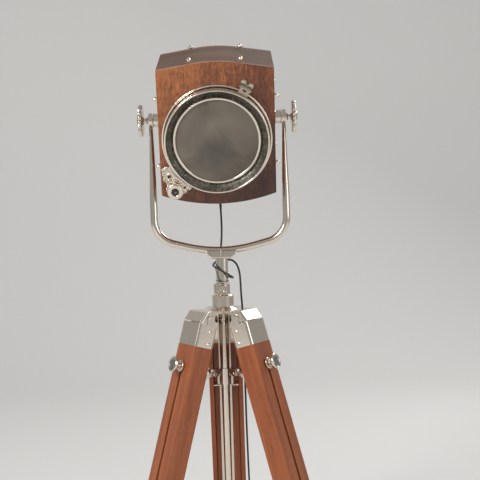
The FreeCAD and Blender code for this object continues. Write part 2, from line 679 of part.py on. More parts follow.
def head_boards():
    """The six wooden panels and the battens that their studs grip."""
    inner_front, inner_back = HEAD_FRONT + FRONT_BOARD, HEAD_BACK - BOARD
    depth = inner_back - inner_front
    front = Part.Face(head_outline(0, HEAD_FRONT)).extrude(V(0, FRONT_BOARD, 0))
    back = Part.Face(head_outline(0, inner_back)).extrude(V(0, BOARD, 0))
    front = eased(front, 1.2, lambda e: all(abs(v.Point.y - HEAD_FRONT) < 0.01 for v in e.Vertexes))
    back = eased(back, 1.2, lambda e: all(abs(v.Point.y - HEAD_BACK) < 0.01 for v in e.Vertexes))
    front = front.cut(cyl(OPENING_R, 60, V(0, HEAD_FRONT - 20, LENS_Z), Y))
    outer = Part.Face(head_outline(0, inner_front)).extrude(V(0, depth, 0))
    inner = Part.Face(head_outline(BOARD, inner_front)).extrude(V(0, depth, 0))
    wrap = outer.cut(inner)
    big = HEAD_W
    eave, sill, side = EAVE_Z - BOARD, SILL_Z + BOARD, HEAD_W / 2 - BOARD
    boards = {
        "front_board": front,
        "back_board": back,
        "roof_panel": wrap.common(block(-big, big, -big, big, eave, 2 * big)),
        "bottom_panel": wrap.common(block(-big, big, -big, big, -2 * big, sill)),
        "side_panel_left": wrap.common(block(-big, -side, -big, big, sill, eave)),
        "side_panel_right": wrap.common(block(side, big, -big, big, sill, eave)),
    }
    half = BATTEN / 2
    battens = []
    for s in (-1, 1):
        x = s * ROOF_NUT_X
        battens.append(block(x - half, x + half, inner_front, inner_back, eave - half, 2 * big).common(inner))
        for z in SIDE_NUT_Z:
            x0, x1 = sorted((s * (side - BATTEN), s * side))
            battens.append(block(x0, x1, inner_front, inner_back, z - half, z + half))
    studs = make_studs()
    for name in boards:
        for stud in studs:
            boards[name] = boards[name].cut(stud)
    battens = [b.cut(Part.makeCompound(studs)) for b in battens]
    boards["frame_battens"] = group(battens)
    for s in (-1, 1):
        name = "side_panel_right" if s > 0 else "side_panel_left"
        boards[name] = boards[name].cut(cyl(TILT_SHAFT_R + FIT, 2 * BOARD, V(s * side, 0, 0), X * s))
    keel = SILL_Z - KEEL_DROP
    neck = cyl(GLAND_NECK_R, 3 * BOARD, V(0, GLAND_Y, keel - BOARD / 2))
    boards["bottom_panel"] = boards["bottom_panel"].cut(neck)
    return boards


def make_cord_gland():
    """The bush that leads the cord out through the underside."""
    keel = SILL_Z - KEEL_DROP
    bore, top = CORD_R + 0.2, BOARD + 2
    outline = [(bore, top), (GLAND_NECK_R, top), (GLAND_NECK_R, 0), (GLAND_R, 0), (GLAND_R, -2),
               (GLAND_R - 1.8, -GLAND_LEN), (bore, -GLAND_LEN)]
    return spun(outline, V(0, GLAND_Y, keel))


def make_tilt_bosses():
    bosses = []
    for s in (-1, 1):
        r = TILT_BOSS_R
        outline = [(TILT_SHAFT_R + FIT, 0), (r + 1.5, 0), (r + 1.5, 1.5), (r, 2.6), (r, TILT_BOSS_LEN - 0.8),
                   (r - 0.8, TILT_BOSS_LEN), (TILT_SHAFT_R + FIT, TILT_BOSS_LEN)]
        bosses.append(spun(outline, V(s * HEAD_W / 2, 0, 0), X * s))
    return group(bosses)


def make_tilt_knob(side):
    """A dished, scalloped hand wheel on its threaded shaft."""
    r, t, at = TILT_KNOB_R, TILT_KNOB_T, TILT_KNOB_AT
    face = YOKE_HALF + PADDLE_T / 2 + GAP
    start = HEAD_W / 2 - BOARD + 1
    outline = [(0, start), (TILT_SHAFT_R, start), (TILT_SHAFT_R, face), (TILT_SHAFT_R + 2.2, face),
               (TILT_SHAFT_R + 2.2, face + 1.4), (TILT_SHAFT_R, face + 2.6), (TILT_SHAFT_R + 0.6, at - 2.5),
               (7.5, at), (r - 4, at - 1.0), (r - 0.8, at - 1.6), (r, at), (r, at + t - 3.2),
               (r - 1.2, at + t - 2), (r - 4, at + t - 2.6), (8.5, at + t - 1.4), (7.0, at + t), (0, at + t)]
    knob = spun(outline, V(0, 0, 0), X * side)
    cutters = []
    for i in range(SCALLOPS):
        a = math.tau * i / SCALLOPS
        start = V(side * (at - t), (r + 0.9) * math.cos(a), (r + 0.9) * math.sin(a))
        cutters.append(cyl(1.7, 3 * t, start, X * side))
    return knob.cut(Part.makeCompound(cutters))


def on_front(outline):
    """A turned piece on the front board: (radius, distance forward)."""
    return spun(outline, V(0, HEAD_FRONT, LENS_Z), -Y)


def on_rim(shape, angle, radius):
    """Place a shape made with X outwards, Y along the rim and Z forward at a
    place beside the lens."""
    out = shape.copy()
    a = math.radians(angle)
    outwards, along = V(math.cos(a), 0, math.sin(a)), V(-math.sin(a), 0, math.cos(a))
    turn = FreeCAD.Rotation(outwards, along, V(0, -1, 0), "XYZ")
    at = V(radius * math.cos(a), HEAD_FRONT, LENS_Z + radius * math.sin(a))
    out.Placement = FreeCAD.Placement(at, turn).multiply(out.Placement)
    return out


def make_base_ring():
    r, t, inner = BASE_RING_R, BASE_RING_T, BASE_RING_IN
    return on_front([(inner, 0), (r, 0), (r, t - 0.8), (r - 0.3, t - 0.3), (r - 0.8, t), (inner + 0.8, t),
                     (inner + 0.3, t - 0.3), (inner, t - 0.8)])


def make_bezel():
    """The door's hoop, with a skirt inside the base ring, a dished seat for
    the lens and a catch ear."""
    r, w, d0 = BEZEL_R, BEZEL_WALL, BASE_RING_T + GAP
    d1 = d0 + BEZEL_LEN
    seat = RETAINER_R + 0.05
    hoop = on_front([(RETAINER_IN - 1, d0), (r - BEZEL_SKIRT, d0), (r - BEZEL_SKIRT, DOOR_GAP), (r, DOOR_GAP),
                     (r, d1 - 1.4), (r - 0.5, d1 - 0.4), (r - 1.3, d1), (r - w + 0.6, d1), (r - w, d1 - 0.4),
                     (r - w - 0.3, d1 - 1.5), (seat + 1.55, d0 + 3.2), (seat, d0 + 1.6),
                     (RETAINER_IN - 1, d0 + 1.6)])
    reach = CATCH_AT - r + 1.5
    ear = joined([block(-reach, 0, -5.5, 5.5, d0, d0 + 2.5), cyl(7.5, 2.5, V(0, 0, d0))])
    ear = ear.cut(cyl(STUD_R + FIT, 10, V(0, 0, d0 - 1)))
    return joined([hoop, on_rim(ear, CATCH_ANGLE, CATCH_AT)])


def make_lens():
    """A domed glass with a flat rim."""
    d = BASE_RING_T + GAP + 1.6
    r, t, h = LENS_R, LENS_T, LENS_DOME
    flat = RETAINER_IN - 0.6
    bulge = (flat * flat + h * h) / (2 * h)
    half_h = bulge - math.sqrt(bulge * bulge - flat * flat / 4)
    crest = h - half_h
    lines = [((0, d), (r, d)), ((r, d), (r, d + t)), ((r, d + t), (flat, d + t)), ((0, d + t + h), (0, d))]
    edges = [Part.makeLine(V(a[0], 0, a[1]), V(b[0], 0, b[1])) for a, b in lines]
    arc = Part.Arc(V(flat, 0, d + t), V(flat / 2, 0, d + t + crest), V(0, 0, d + t + h)).toShape()
    face = Part.Face(Part.Wire(edges[:3] + [arc, edges[3]]))
    lens = face.revolve(V(0, 0, 0), Z, 360)
    hollow = moved(lens.copy(), V(0, 0, -t)).common(cyl(flat - 2, 3 * h, V(0, 0, d)))
    lens = lens.cut(hollow)
    lens.Placement = FreeCAD.Placement(V(0, HEAD_FRONT, LENS_Z), FreeCAD.Rotation(Z, -Y))
    return lens


def make_retaining_ring():
    d = BASE_RING_T + GAP + 1.6
    top = d + LENS_T + 2.2
    return on_front([(LENS_R + 0.05, d), (RETAINER_R, d), (RETAINER_R, top - 0.8), (RETAINER_R - 0.8, top),
                     (RETAINER_IN + 0.6, top), (RETAINER_IN, top - 0.8), (RETAINER_IN, d + LENS_T + 0.05),
                     (LENS_R + 0.05, d + LENS_T + 0.05)])


def hinge_depth():
    return BASE_RING_T + GAP + KNUCKLE_R


def make_hinge_bracket():
    """The fixed hinge leaf: two round lobes on the front board and the middle
    knuckle."""
    d, t = hinge_depth(), HINGE_LEAF_T
    over = BASE_RING_R + GAP - HINGE_AT
    half = KNUCKLE_LEN / 2
    leaf = block(over, HINGE_LOBE_X, -HINGE_LOBE_Y - 1.5, HINGE_LOBE_Y + 1.5, 0, t)
    lobes = [cyl(HINGE_LOBE_R, t, V(HINGE_LOBE_X, s * HINGE_LOBE_Y, 0)) for s in (-1, 1)]
    neck = block(-1.6, KNUCKLE_R + 0.4, -half, half, 0, d)
    knuckle = cyl(KNUCKLE_R, KNUCKLE_LEN, V(0, -half, d), Y)
    body = joined([leaf, neck, knuckle] + lobes)
    body = body.cut(cyl(HINGE_PIN_R, 10 * KNUCKLE_LEN, V(0, -5 * KNUCKLE_LEN, d), Y))
    return on_rim(body, HINGE_ANGLE, HINGE_AT)


def make_hinge_leaf():
    """The door's two knuckles and the strap that joins them to the hoop."""
    d = hinge_depth()
    arms = []
    y0 = KNUCKLE_LEN / 2 + GAP
    inward = BEZEL_R - HINGE_AT + 0.25
    for s in (-1, 1):
        y = y0 if s > 0 else -y0 - KNUCKLE_LEN
        knuckle = cyl(KNUCKLE_R, KNUCKLE_LEN, V(0, y, d), Y)
        arm = block(inward - 1.2, 0, y, y + KNUCKLE_LEN, d - 1.5, d + KNUCKLE_R)
        arms += [knuckle, arm]
    bridge = block(inward - 1.2, -KNUCKLE_R - GAP, -y0, y0, d - 1.5, d + KNUCKLE_R)
    bore = cyl(HINGE_PIN_R + FIT, 10 * KNUCKLE_LEN, V(0, -5 * KNUCKLE_LEN, d), Y)
    body = joined(arms + [bridge]).cut(bore)
    placed = on_rim(body, HINGE_ANGLE, HINGE_AT)
    hoop = cyl(BEZEL_R, 60, V(0, HEAD_FRONT + 10, LENS_Z), -Y)
    return placed.cut(hoop)


def make_hinge_pin():
    y = KNUCKLE_LEN * 1.5 + GAP
    d = hinge_depth()
    pin = cyl(HINGE_PIN_R, 2 * y + 1, V(0, -y - 0.5, d), Y)
    ends = [cyl(HINGE_PIN_R + 0.8, 1.2, V(0, s * (y + 0.4 + 0.6) - 0.6, d), Y) for s in (-1, 1)]
    return on_rim(joined([pin] + ends), HINGE_ANGLE, HINGE_AT)


# Lobes of the catch bracket: place outwards and along the rim, and radius.
CATCH_LOBES = [(-10.2, -28.0, 2.6), (-14.0, -25.5, 3.2), (-6.5, -23.5, 3.2), (-2.5, -18.0, 3.6),
               (-10.0, -18.0, 5.4), (-12.6, -10.0, 4.0), (-11.0, 9.5, 3.8),
               (-12.6, 12.2, 2.9), (-5.5, 11.0, 2.6)]
CATCH_SCREWS = [(-13.6, -25.2), (-12.4, 11.8)]
CATCH_HOLES = [(-8.0, -16.6, 2.2), (-9.4, 7.6, 1.4)]


def make_catch_bracket():
    """The scrolled plate that the catch screw grips, hugging the base ring."""
    t = CATCH_PLATE_T
    corners = [(-10.5, -28.5), (2.3, -13.4), (0, 0), (-1.6, 10.0), (-13.5, 13.2), (-20, 0), (-20, -24)]
    body = polygon([V(x, y, 0) for x, y in corners]).extrude(V(0, 0, t))
    body = body.fuse(cyl(CATCH_EYE_R, t))
    for x, y, r in CATCH_LOBES:
        body = body.fuse(cyl(r, t, V(x, y, 0)))
    for x, y, r in CATCH_HOLES:
        body = body.fuse(ring(r + 1.3, r, BASE_RING_T - t + 0.1, V(x, y, t - 0.1)))
        body = body.cut(cyl(r, 4 * t, V(x, y, -t)))
    body = body.cut(cyl(STUD_R + 0.35, 4 * t, V(0, 0, -t)))
    placed = on_rim(body, CATCH_ANGLE, CATCH_AT)
    edge = cyl(BASE_RING_R + GAP, 4 * HEAD_W, V(0, HEAD_FRONT + 2 * HEAD_W, LENS_Z), -Y)
    return placed.cut(edge).removeSplitter()


def make_catch_knob():
    """A round thumb knob with a sunk centre, on the screw that holds the door."""
    d = BASE_RING_T + GAP + 2.5 + GAP
    r = CATCH_KNOB_R
    knob = spun([(0, d), (6.5, d), (6.0, d + 2.5), (r - 1, d + 4), (r, d + 5), (r, d + 9), (r - 1, d + 10),
                 (4.6, d + 10.4), (4.2, d + 9.6), (4.2, d + 7), (2.2, d + 7), (2.0, d + 9.4), (0, d + 9.8)])
    knob = knob.cut(fluting(r, 14, 28, 0.55, V(0, 0, d - 1), Z))
    stud = cyl(STUD_R, d - 0.8, V(0, 0, 0.8))
    return on_rim(joined([knob, stud]), CATCH_ANGLE, CATCH_AT)


def make_front_screws():
    """Round heads that hold the two front brackets."""
    screws = []
    for s in (-1, 1):
        at = V(HINGE_LOBE_X, s * HINGE_LOBE_Y, HINGE_LEAF_T)
        screws.append(on_rim(round_screw(at, Z, FRONT_SCREW_R), HINGE_ANGLE, HINGE_AT))
    for x, y in CATCH_SCREWS:
        screws.append(on_rim(round_screw(V(x, y, CATCH_PLATE_T), Z, FRONT_SCREW_R), CATCH_ANGLE, CATCH_AT))
    return group(screws)


def make_reflector():
    """A thin spun bowl behind the opening, flanged against the front board."""
    y0 = HEAD_FRONT + FRONT_BOARD
    r0, r1, deep, t = OPENING_R - 1.5, SOCKET_R + 3.0, 40.0, 0.9
    steps = 8
    outer, inner = [], []
    for i in range(steps + 1):
        k = i / steps
        r = r0 + (r1 - r0) * k
        h = deep * (1 - ((r - r1) / (r0 - r1)) ** 2)
        outer.append((r + t, h + t * 0.5))
        inner.append((r, h))
    outline = [(r0, 0), (OPENING_R + 6, 0), (OPENING_R + 6, t)] + outer[1:] + inner[::-1]
    return spun(outline[:-1] if outline[-1] == outline[0] else outline, V(0, y0, LENS_Z), Y)


def make_lamp_socket():
    y0 = SOCKET_Y
    r = SOCKET_R
    return spun([(0, SOCKET_LEN), (r - 1, SOCKET_LEN), (r, SOCKET_LEN - 1), (r, 0), (r - 1.5, 0),
                 (r - 1.5, SOCKET_LEN - 5), (0, SOCKET_LEN - 5)], V(0, y0, LENS_Z), Y)


def make_socket_bracket():
    """A flanged tube from the back board to the lamp socket."""
    y0, y1 = SOCKET_Y + SOCKET_LEN, HEAD_BACK - BOARD
    length = y1 - y0
    outline = [(4, 0), (9, 0), (9, 2), (6, 2), (6, length - 2), (20, length - 2), (20, length), (4, length)]
    return spun(outline, V(0, y0, LENS_Z), Y)


def make_bulb():
    """A round bulb with its screw base in the socket."""
    neck = SOCKET_R - 2.2
    centre = SOCKET_Y - 6 - BULB_R * 0.93
    globe = Part.makeSphere(BULB_R, V(0, centre, LENS_Z))
    cone = spun([(0, 0), (neck, 0), (neck, 12), (neck - 0.6, 15), (neck - 0.6, 24), (0, 25)],
                V(0, SOCKET_Y - 14, LENS_Z), Y)
    return joined([globe, cone])


# Chosen by hand: out of the gland, behind the yoke's bow and its saddle, down
# across the front of the centre tube, round behind it in a turn that comes back
# on its right, over the crown beside the rear leg and down to the switch.
CORD_ROUTE = [
    (0.0, 29.2, 514.4), (0.0, 32.6, 503.5), (0.5, 32.5, 485.0), (1.0, 28.0, 465.0), (0.0, 21.5, 446.5),
    (-2.5, 15.5, 432.0), (-7.0, 12.0, 422.5), (-12.5, 4.0, 418.0), (-9.5, -8.5, 416.5), (1.0, -13.0, 410.5),
    (11.5, -9.5, 404.0), (15.0, 1.5, 400.5), (10.5, 13.0, 401.0), (0.0, 17.5, 404.0), (-5.5, 17.8, 413.5),
    (1.0, 17.6, 422.5), (11.5, 15.5, 424.5), (19.0, 12.0, 419.5), (22.8, 10.5, 409.0), (23.8, 10.5, 397.0),
    (24.0, 12.0, 380.0), (25.5, 15.6, 358.0), (26.0, 20.5, 325.0), (26.0, 28.0, 285.0), (26.0, 38.0, 245.0),
    (26.0, 50.0, 205.0), (26.5, 64.0, 165.0), (27.0, 80.0, 125.0), (28.0, 98.0, 85.0), (30.0, 117.0, 48.0),
    (34.0, 134.0, 18.0), (44.0, 146.0, 3.5), (60.0, 150.0, 2.0), (76.0, 143.0, 4.0), (83.0, 130.0, 7.0),
    (84.0, 117.0, 8.0)]
FLOOR_GAP = 0.2
SWITCH_X = 84.0
SWITCH_L = 46.0
SWITCH_W = 22.0
SWITCH_H = 15.0
SWITCH_END = 116.6
SWITCH_CORD_Z = 8.0
COIL_X = 63.95
COIL_Y = 44.0
COIL_TURNS = 3       # in each layer
COIL_LAYERS = 4
COIL_IN = 10.6
COIL_PITCH = 3.15
PLUG_W = 25.0
PLUG_H = 14.0
PLUG_AT = 74.0
PLUG_PIN_R = 2.0
PLUG_PIN_LEN = 19.0
PLUG_PIN_SPAN = 19.0


def cord_path(points):
    """Straight runs joined by arcs as large as the runs allow."""
    pts = [V(*p) for p in points]
    edges, radii, at = [], [], pts[0]
    for a, b, c in zip(pts, pts[1:], pts[2:]):
        into, away = (b - a).normalize(), (c - b).normalize()
        turn = into.getAngle(away)
        cut = 0.45 * min(a.distanceToPoint(b), b.distanceToPoint(c))
        radii.append(cut / math.tan(turn / 2))
        start, end = b - into * cut, b + away * cut
        inward = ((start + end) * 0.5 - b).normalize()
        depth = radii[-1] / math.cos(turn / 2) - radii[-1]
        edges += [Part.makeLine(at, start), Part.Arc(start, b + inward * depth, end).toShape()]
        at = end
    edges.append(Part.makeLine(at, pts[-1]))
    return edges, radii


def tube_along(edges, r):
    wire = Part.Wire(edges)
    first = edges[0]
    start, ahead = first.Vertexes[0].Point, first.tangentAt(first.FirstParameter)
    section = Part.Wire(Part.makeCircle(r, start, ahead))
    return wire.makePipeShell([section], True, False), wire.Length


def make_power_cord():
    edges, radii = cord_path(CORD_ROUTE)
    tube, length = tube_along(edges, CORD_R)
    print("cord arcs, radii in mm:", " ".join("%.1f" % r for r in radii))
    print("power_cord length %.0f mm, volume over section x length %.4f"
          % (length, tube.Volume / (math.pi * CORD_R ** 2 * length)))
    return tube


def coil_station(turn):
    """A point of the coil, counted in turns from its start at the top. The
    spiral runs in and out at a steady rate and drops where it reverses."""
    layer = min(int(turn / COIL_TURNS), COIL_LAYERS - 1)
    along = turn - layer * COIL_TURNS
    wide = COIL_IN + COIL_PITCH * COIL_TURNS
    r = wide - COIL_PITCH * along if layer % 2 == 0 else COIL_IN + COIL_PITCH * along
    level = COIL_LAYERS - 1.0
    for k in range(1, COIL_LAYERS):
        level -= min(max((turn - k * COIL_TURNS) * 2 + 0.5, 0.0), 1.0)
    angle = -math.tau * turn
    height = CORD_R + FLOOR_GAP + COIL_PITCH * level
    return V(COIL_X + r * math.cos(angle), COIL_Y + r * math.sin(angle), height)


def coil_heading(turn):
    step = 0.02
    ahead = coil_station(turn + step) - coil_station(max(turn - step, 0))
    return ahead.normalize()


def biarc(p0, t0, p1, t1):
    """Two arcs that leave p0 along t0 and reach p1 along t1."""
    v, t = p1 - p0, t0 + t1
    a = 2 * (1 - t0.dot(t1))
    if a > 1e-6:
        d = (-v.dot(t) + math.sqrt(v.dot(t) ** 2 + a * v.dot(v))) / a
    else:
        d = v.dot(v) / (2 * v.dot(t))
    mid = (p0 + t0 * d + p1 - t1 * d) * 0.5
    return [arc_from(p0, t0, mid), arc_from(p1, t1 * -1, mid, True)]


def arc_from(p, t, q, back=False):
    """The arc that leaves p along t and ends at q."""
    chord = q - p
    unit = V(chord).normalize()
    across = t - unit * t.dot(unit)
    height = chord.Length / 2 * math.tan(t.getAngle(chord) / 2)
    crest = (p + q) * 0.5 + across.normalize() * height
    return (Part.Arc(q, crest, p) if back else Part.Arc(p, crest, q)).toShape()


def make_cord_coil():
    """The unseen length, wound up beside the rear leg, as one unbroken tube
    from the switch to the plug."""
    turns = COIL_TURNS * COIL_LAYERS - 0.5
    count = round(turns * 4)
    stations = [i / 4 for i in range(count + 1)]
    points = [coil_station(t) for t in stations]
    heads = [-Y] + [coil_heading(t) for t in stations[1:-1]] + [Y]
    straight = 2 * CORD_R
    start = V(SWITCH_X, SWITCH_END - SWITCH_L + 3, SWITCH_CORD_Z)
    end = V(points[-1].x, PLUG_AT + 3, FLOOR_GAP + PLUG_H / 2)
    points = [start - Y * (3 + straight)] + points + [end - Y * (3 + straight)]
    heads = [-Y] + heads + [Y]
    edges = [Part.makeLine(start, points[0])]
    for i in range(len(points) - 1):
        edges += biarc(points[i], heads[i], points[i + 1], heads[i + 1])
    edges.append(Part.makeLine(points[-1], end))
    tube, length = tube_along(edges, CORD_R)
    print("cord_coil length %.0f mm, volume over section x length %.4f"
          % (length, tube.Volume / (math.pi * CORD_R ** 2 * length)))
    print("cord_coil least gap to itself %.2f mm" % coil_gap(stations))
    return tube


def coil_gap(stations):
    """The least distance between turns, less the cord's thickness."""
    fine = [i / 48 for i in range(int(stations[-1] * 48) + 1)]
    points = [coil_station(t) for t in fine]
    count = len(points)
    least = min(points[i].distanceToPoint(points[j]) for i in range(count) for j in range(i + 24, count))
    return least - 2 * CORD_R


def make_cord_switch():
    """The in-line switch's case, with a well for its rocker."""
    half_l, half_w = SWITCH_L / 2, SWITCH_W / 2
    top = FLOOR_GAP + SWITCH_H
    case = block(-half_w, half_w, -half_l, half_l, FLOOR_GAP, top)
    case = eased(case, 6.0, upright)
    case = eased(case, 1.5, lambda e: all(abs(v.Point.z - top) < 0.01 for v in e.Vertexes))
    case = case.cut(block(-4.6, 4.6, -9.6, 9.6, top - 6, top + 2))
    case = case.cut(cyl(1.0 + FIT, 16, V(-8, 0, switch_axis_z()), X))
    case = case.cut(cyl(CORD_R + 0.1, 4, V(0, -half_l - 1, SWITCH_CORD_Z), Y))
    case = case.cut(cyl(CORD_R + 0.1, 4, V(0, half_l - 3, SWITCH_CORD_Z), Y))
    return moved(case, V(SWITCH_X, SWITCH_END - half_l, 0))


def switch_axis_z():
    return FLOOR_GAP + SWITCH_H - 2.5


def make_switch_rocker():
    """The rocker on its pin, pushed down at one end."""
    z = switch_axis_z()
    crown = cyl(22.0, 8.4, V(-4.2, 0, z + 4.2 - 22.0), X)
    body = block(-4.2, 4.2, -8.6, 8.6, z - 1.6, z + 6).common(crown)
    pin = cyl(1.0, 15, V(-7.5, 0, z), X)
    rocker = turned(joined([body, pin]), X, V(0, 0, z), ROCKER_TIP)
    return moved(rocker, V(SWITCH_X, SWITCH_END - SWITCH_L / 2, 0))


def make_plug():
    """A flat two-pin plug lying on the floor beside the coil."""
    half, mid = PLUG_W / 2, FLOOR_GAP + PLUG_H / 2
    x = coil_station(COIL_TURNS * COIL_LAYERS - 0.5).x
    body = block(-half, half, 12, PLUG_LEN, FLOOR_GAP, FLOOR_GAP + PLUG_H)
    body = eased(body, 3.0, lambda e: abs(e.Vertexes[0].Point.y - e.Vertexes[-1].Point.y) > 5)
    relief = spun([(0, 0), (3.0, 0), (4.2, 13), (0, 13)], V(0, 0, mid), Y)
    body = joined([body, relief]).cut(cyl(CORD_R + 0.1, 4, V(0, -1, mid), Y))
    pins = []
    for s in (-1, 1):
        at = V(s * PLUG_PIN_SPAN / 2, PLUG_LEN, mid)
        pin = cyl(PLUG_PIN_R, PLUG_PIN_LEN, at, Y)
        pins.append(eased(pin, 0.8, lambda e: abs(e.Vertexes[0].Point.y - at.y - PLUG_PIN_LEN) < 0.01))
    return moved(group([body] + pins), V(x, PLUG_AT, 0))


def make_parts():
    parts = {"crown": make_crown(), "pivot_bolts": make_pivot_bolts()}
    cap, outer, inner, knob = make_leg_cap(), make_leg_outer(), make_leg_inner(), make_leg_knob()
    foot, link = make_leg_foot(), make_spreader_link()
    span = 2 * PIVOT_Z
    below = block(-span, span, -span, span, -span, 0)
    for name, angle in LEG_ANGLES.items():
        parts["leg_cap_" + name] = in_leg(cap, angle)
        parts["leg_outer_" + name] = in_leg(outer, angle)
        parts["leg_inner_" + name] = in_leg(inner, angle)
        parts["leg_foot_" + name] = in_leg(foot, angle).cut(below)
        parts["leg_knob_" + name] = in_leg(knob, angle)
        parts["spreader_link_" + name] = turned(link, Z, V(0, 0, 0), angle)
    parts["spreader_hub"] = make_spreader_hub()
    parts["spreader_pins"] = make_spreader_pins()
    parts["centre_tube"] = make_centre_tube()
    parts["tube_plug"] = make_tube_plug()
    parts["clamp_collar"] = make_clamp_collar()
    parts["clamp_screw"] = make_clamp_screw()
    parts["yoke_fork"] = make_yoke_fork()
    parts["yoke_saddle"] = make_yoke_saddle()
    head = head_boards()
    head["acorn_nuts"] = make_acorn_nuts()
    head["cord_gland"] = make_cord_gland()
    head["tilt_bosses"] = make_tilt_bosses()
    head["tilt_knob_left"] = make_tilt_knob(-1)
    head["tilt_knob_right"] = make_tilt_knob(1)
    head["base_ring"] = make_base_ring()
    head["bezel"] = make_bezel()
    head["lens"] = make_lens()
    head["retaining_ring"] = make_retaining_ring()
    head["hinge_bracket"] = make_hinge_bracket()
    head["hinge_leaf"] = make_hinge_leaf()
    head["hinge_pin"] = make_hinge_pin()
    head["catch_bracket"] = make_catch_bracket()
    head["catch_knob"] = make_catch_knob()
    head["front_screws"] = make_front_screws()
    head["reflector"] = make_reflector()
    head["lamp_socket"] = make_lamp_socket()
    head["socket_bracket"] = make_socket_bracket()
    head["bulb"] = make_bulb()
    for name, shape in head.items():
        parts[name] = in_head(shape)
    parts["power_cord"] = make_power_cord()
    parts["cord_coil"] = make_cord_coil()
    parts["cord_switch"] = make_cord_switch()
    parts["switch_rocker"] = make_switch_rocker()
    parts["plug"] = make_plug()
    return {name: moved(shape, V(0, TUBE_Y, 0)) for name, shape in parts.items()}


CORD_PARTS = ("power_cord", "cord_coil", "cord_switch", "switch_rocker", "plug")


def print_box(parts):
    """The box of the lamp without its free cord, which the origin stands under."""
    box = FreeCAD.BoundBox()
    for name, shape in parts.items():
        if name not in CORD_PARTS:
            box.add(shape.BoundBox)
    print("lamp's box: x %.3f to %.3f, y %.3f to %.3f, z %.3f to %.3f mm"
          % (box.XMin, box.XMax, box.YMin, box.YMax, box.ZMin, box.ZMax))


def main():
    os.makedirs("parts", exist_ok=True)
    parts = make_parts()
    print_box(parts)
    for name, shape in parts.items():
        shape.exportStep("parts/%s.step" % name)


main()
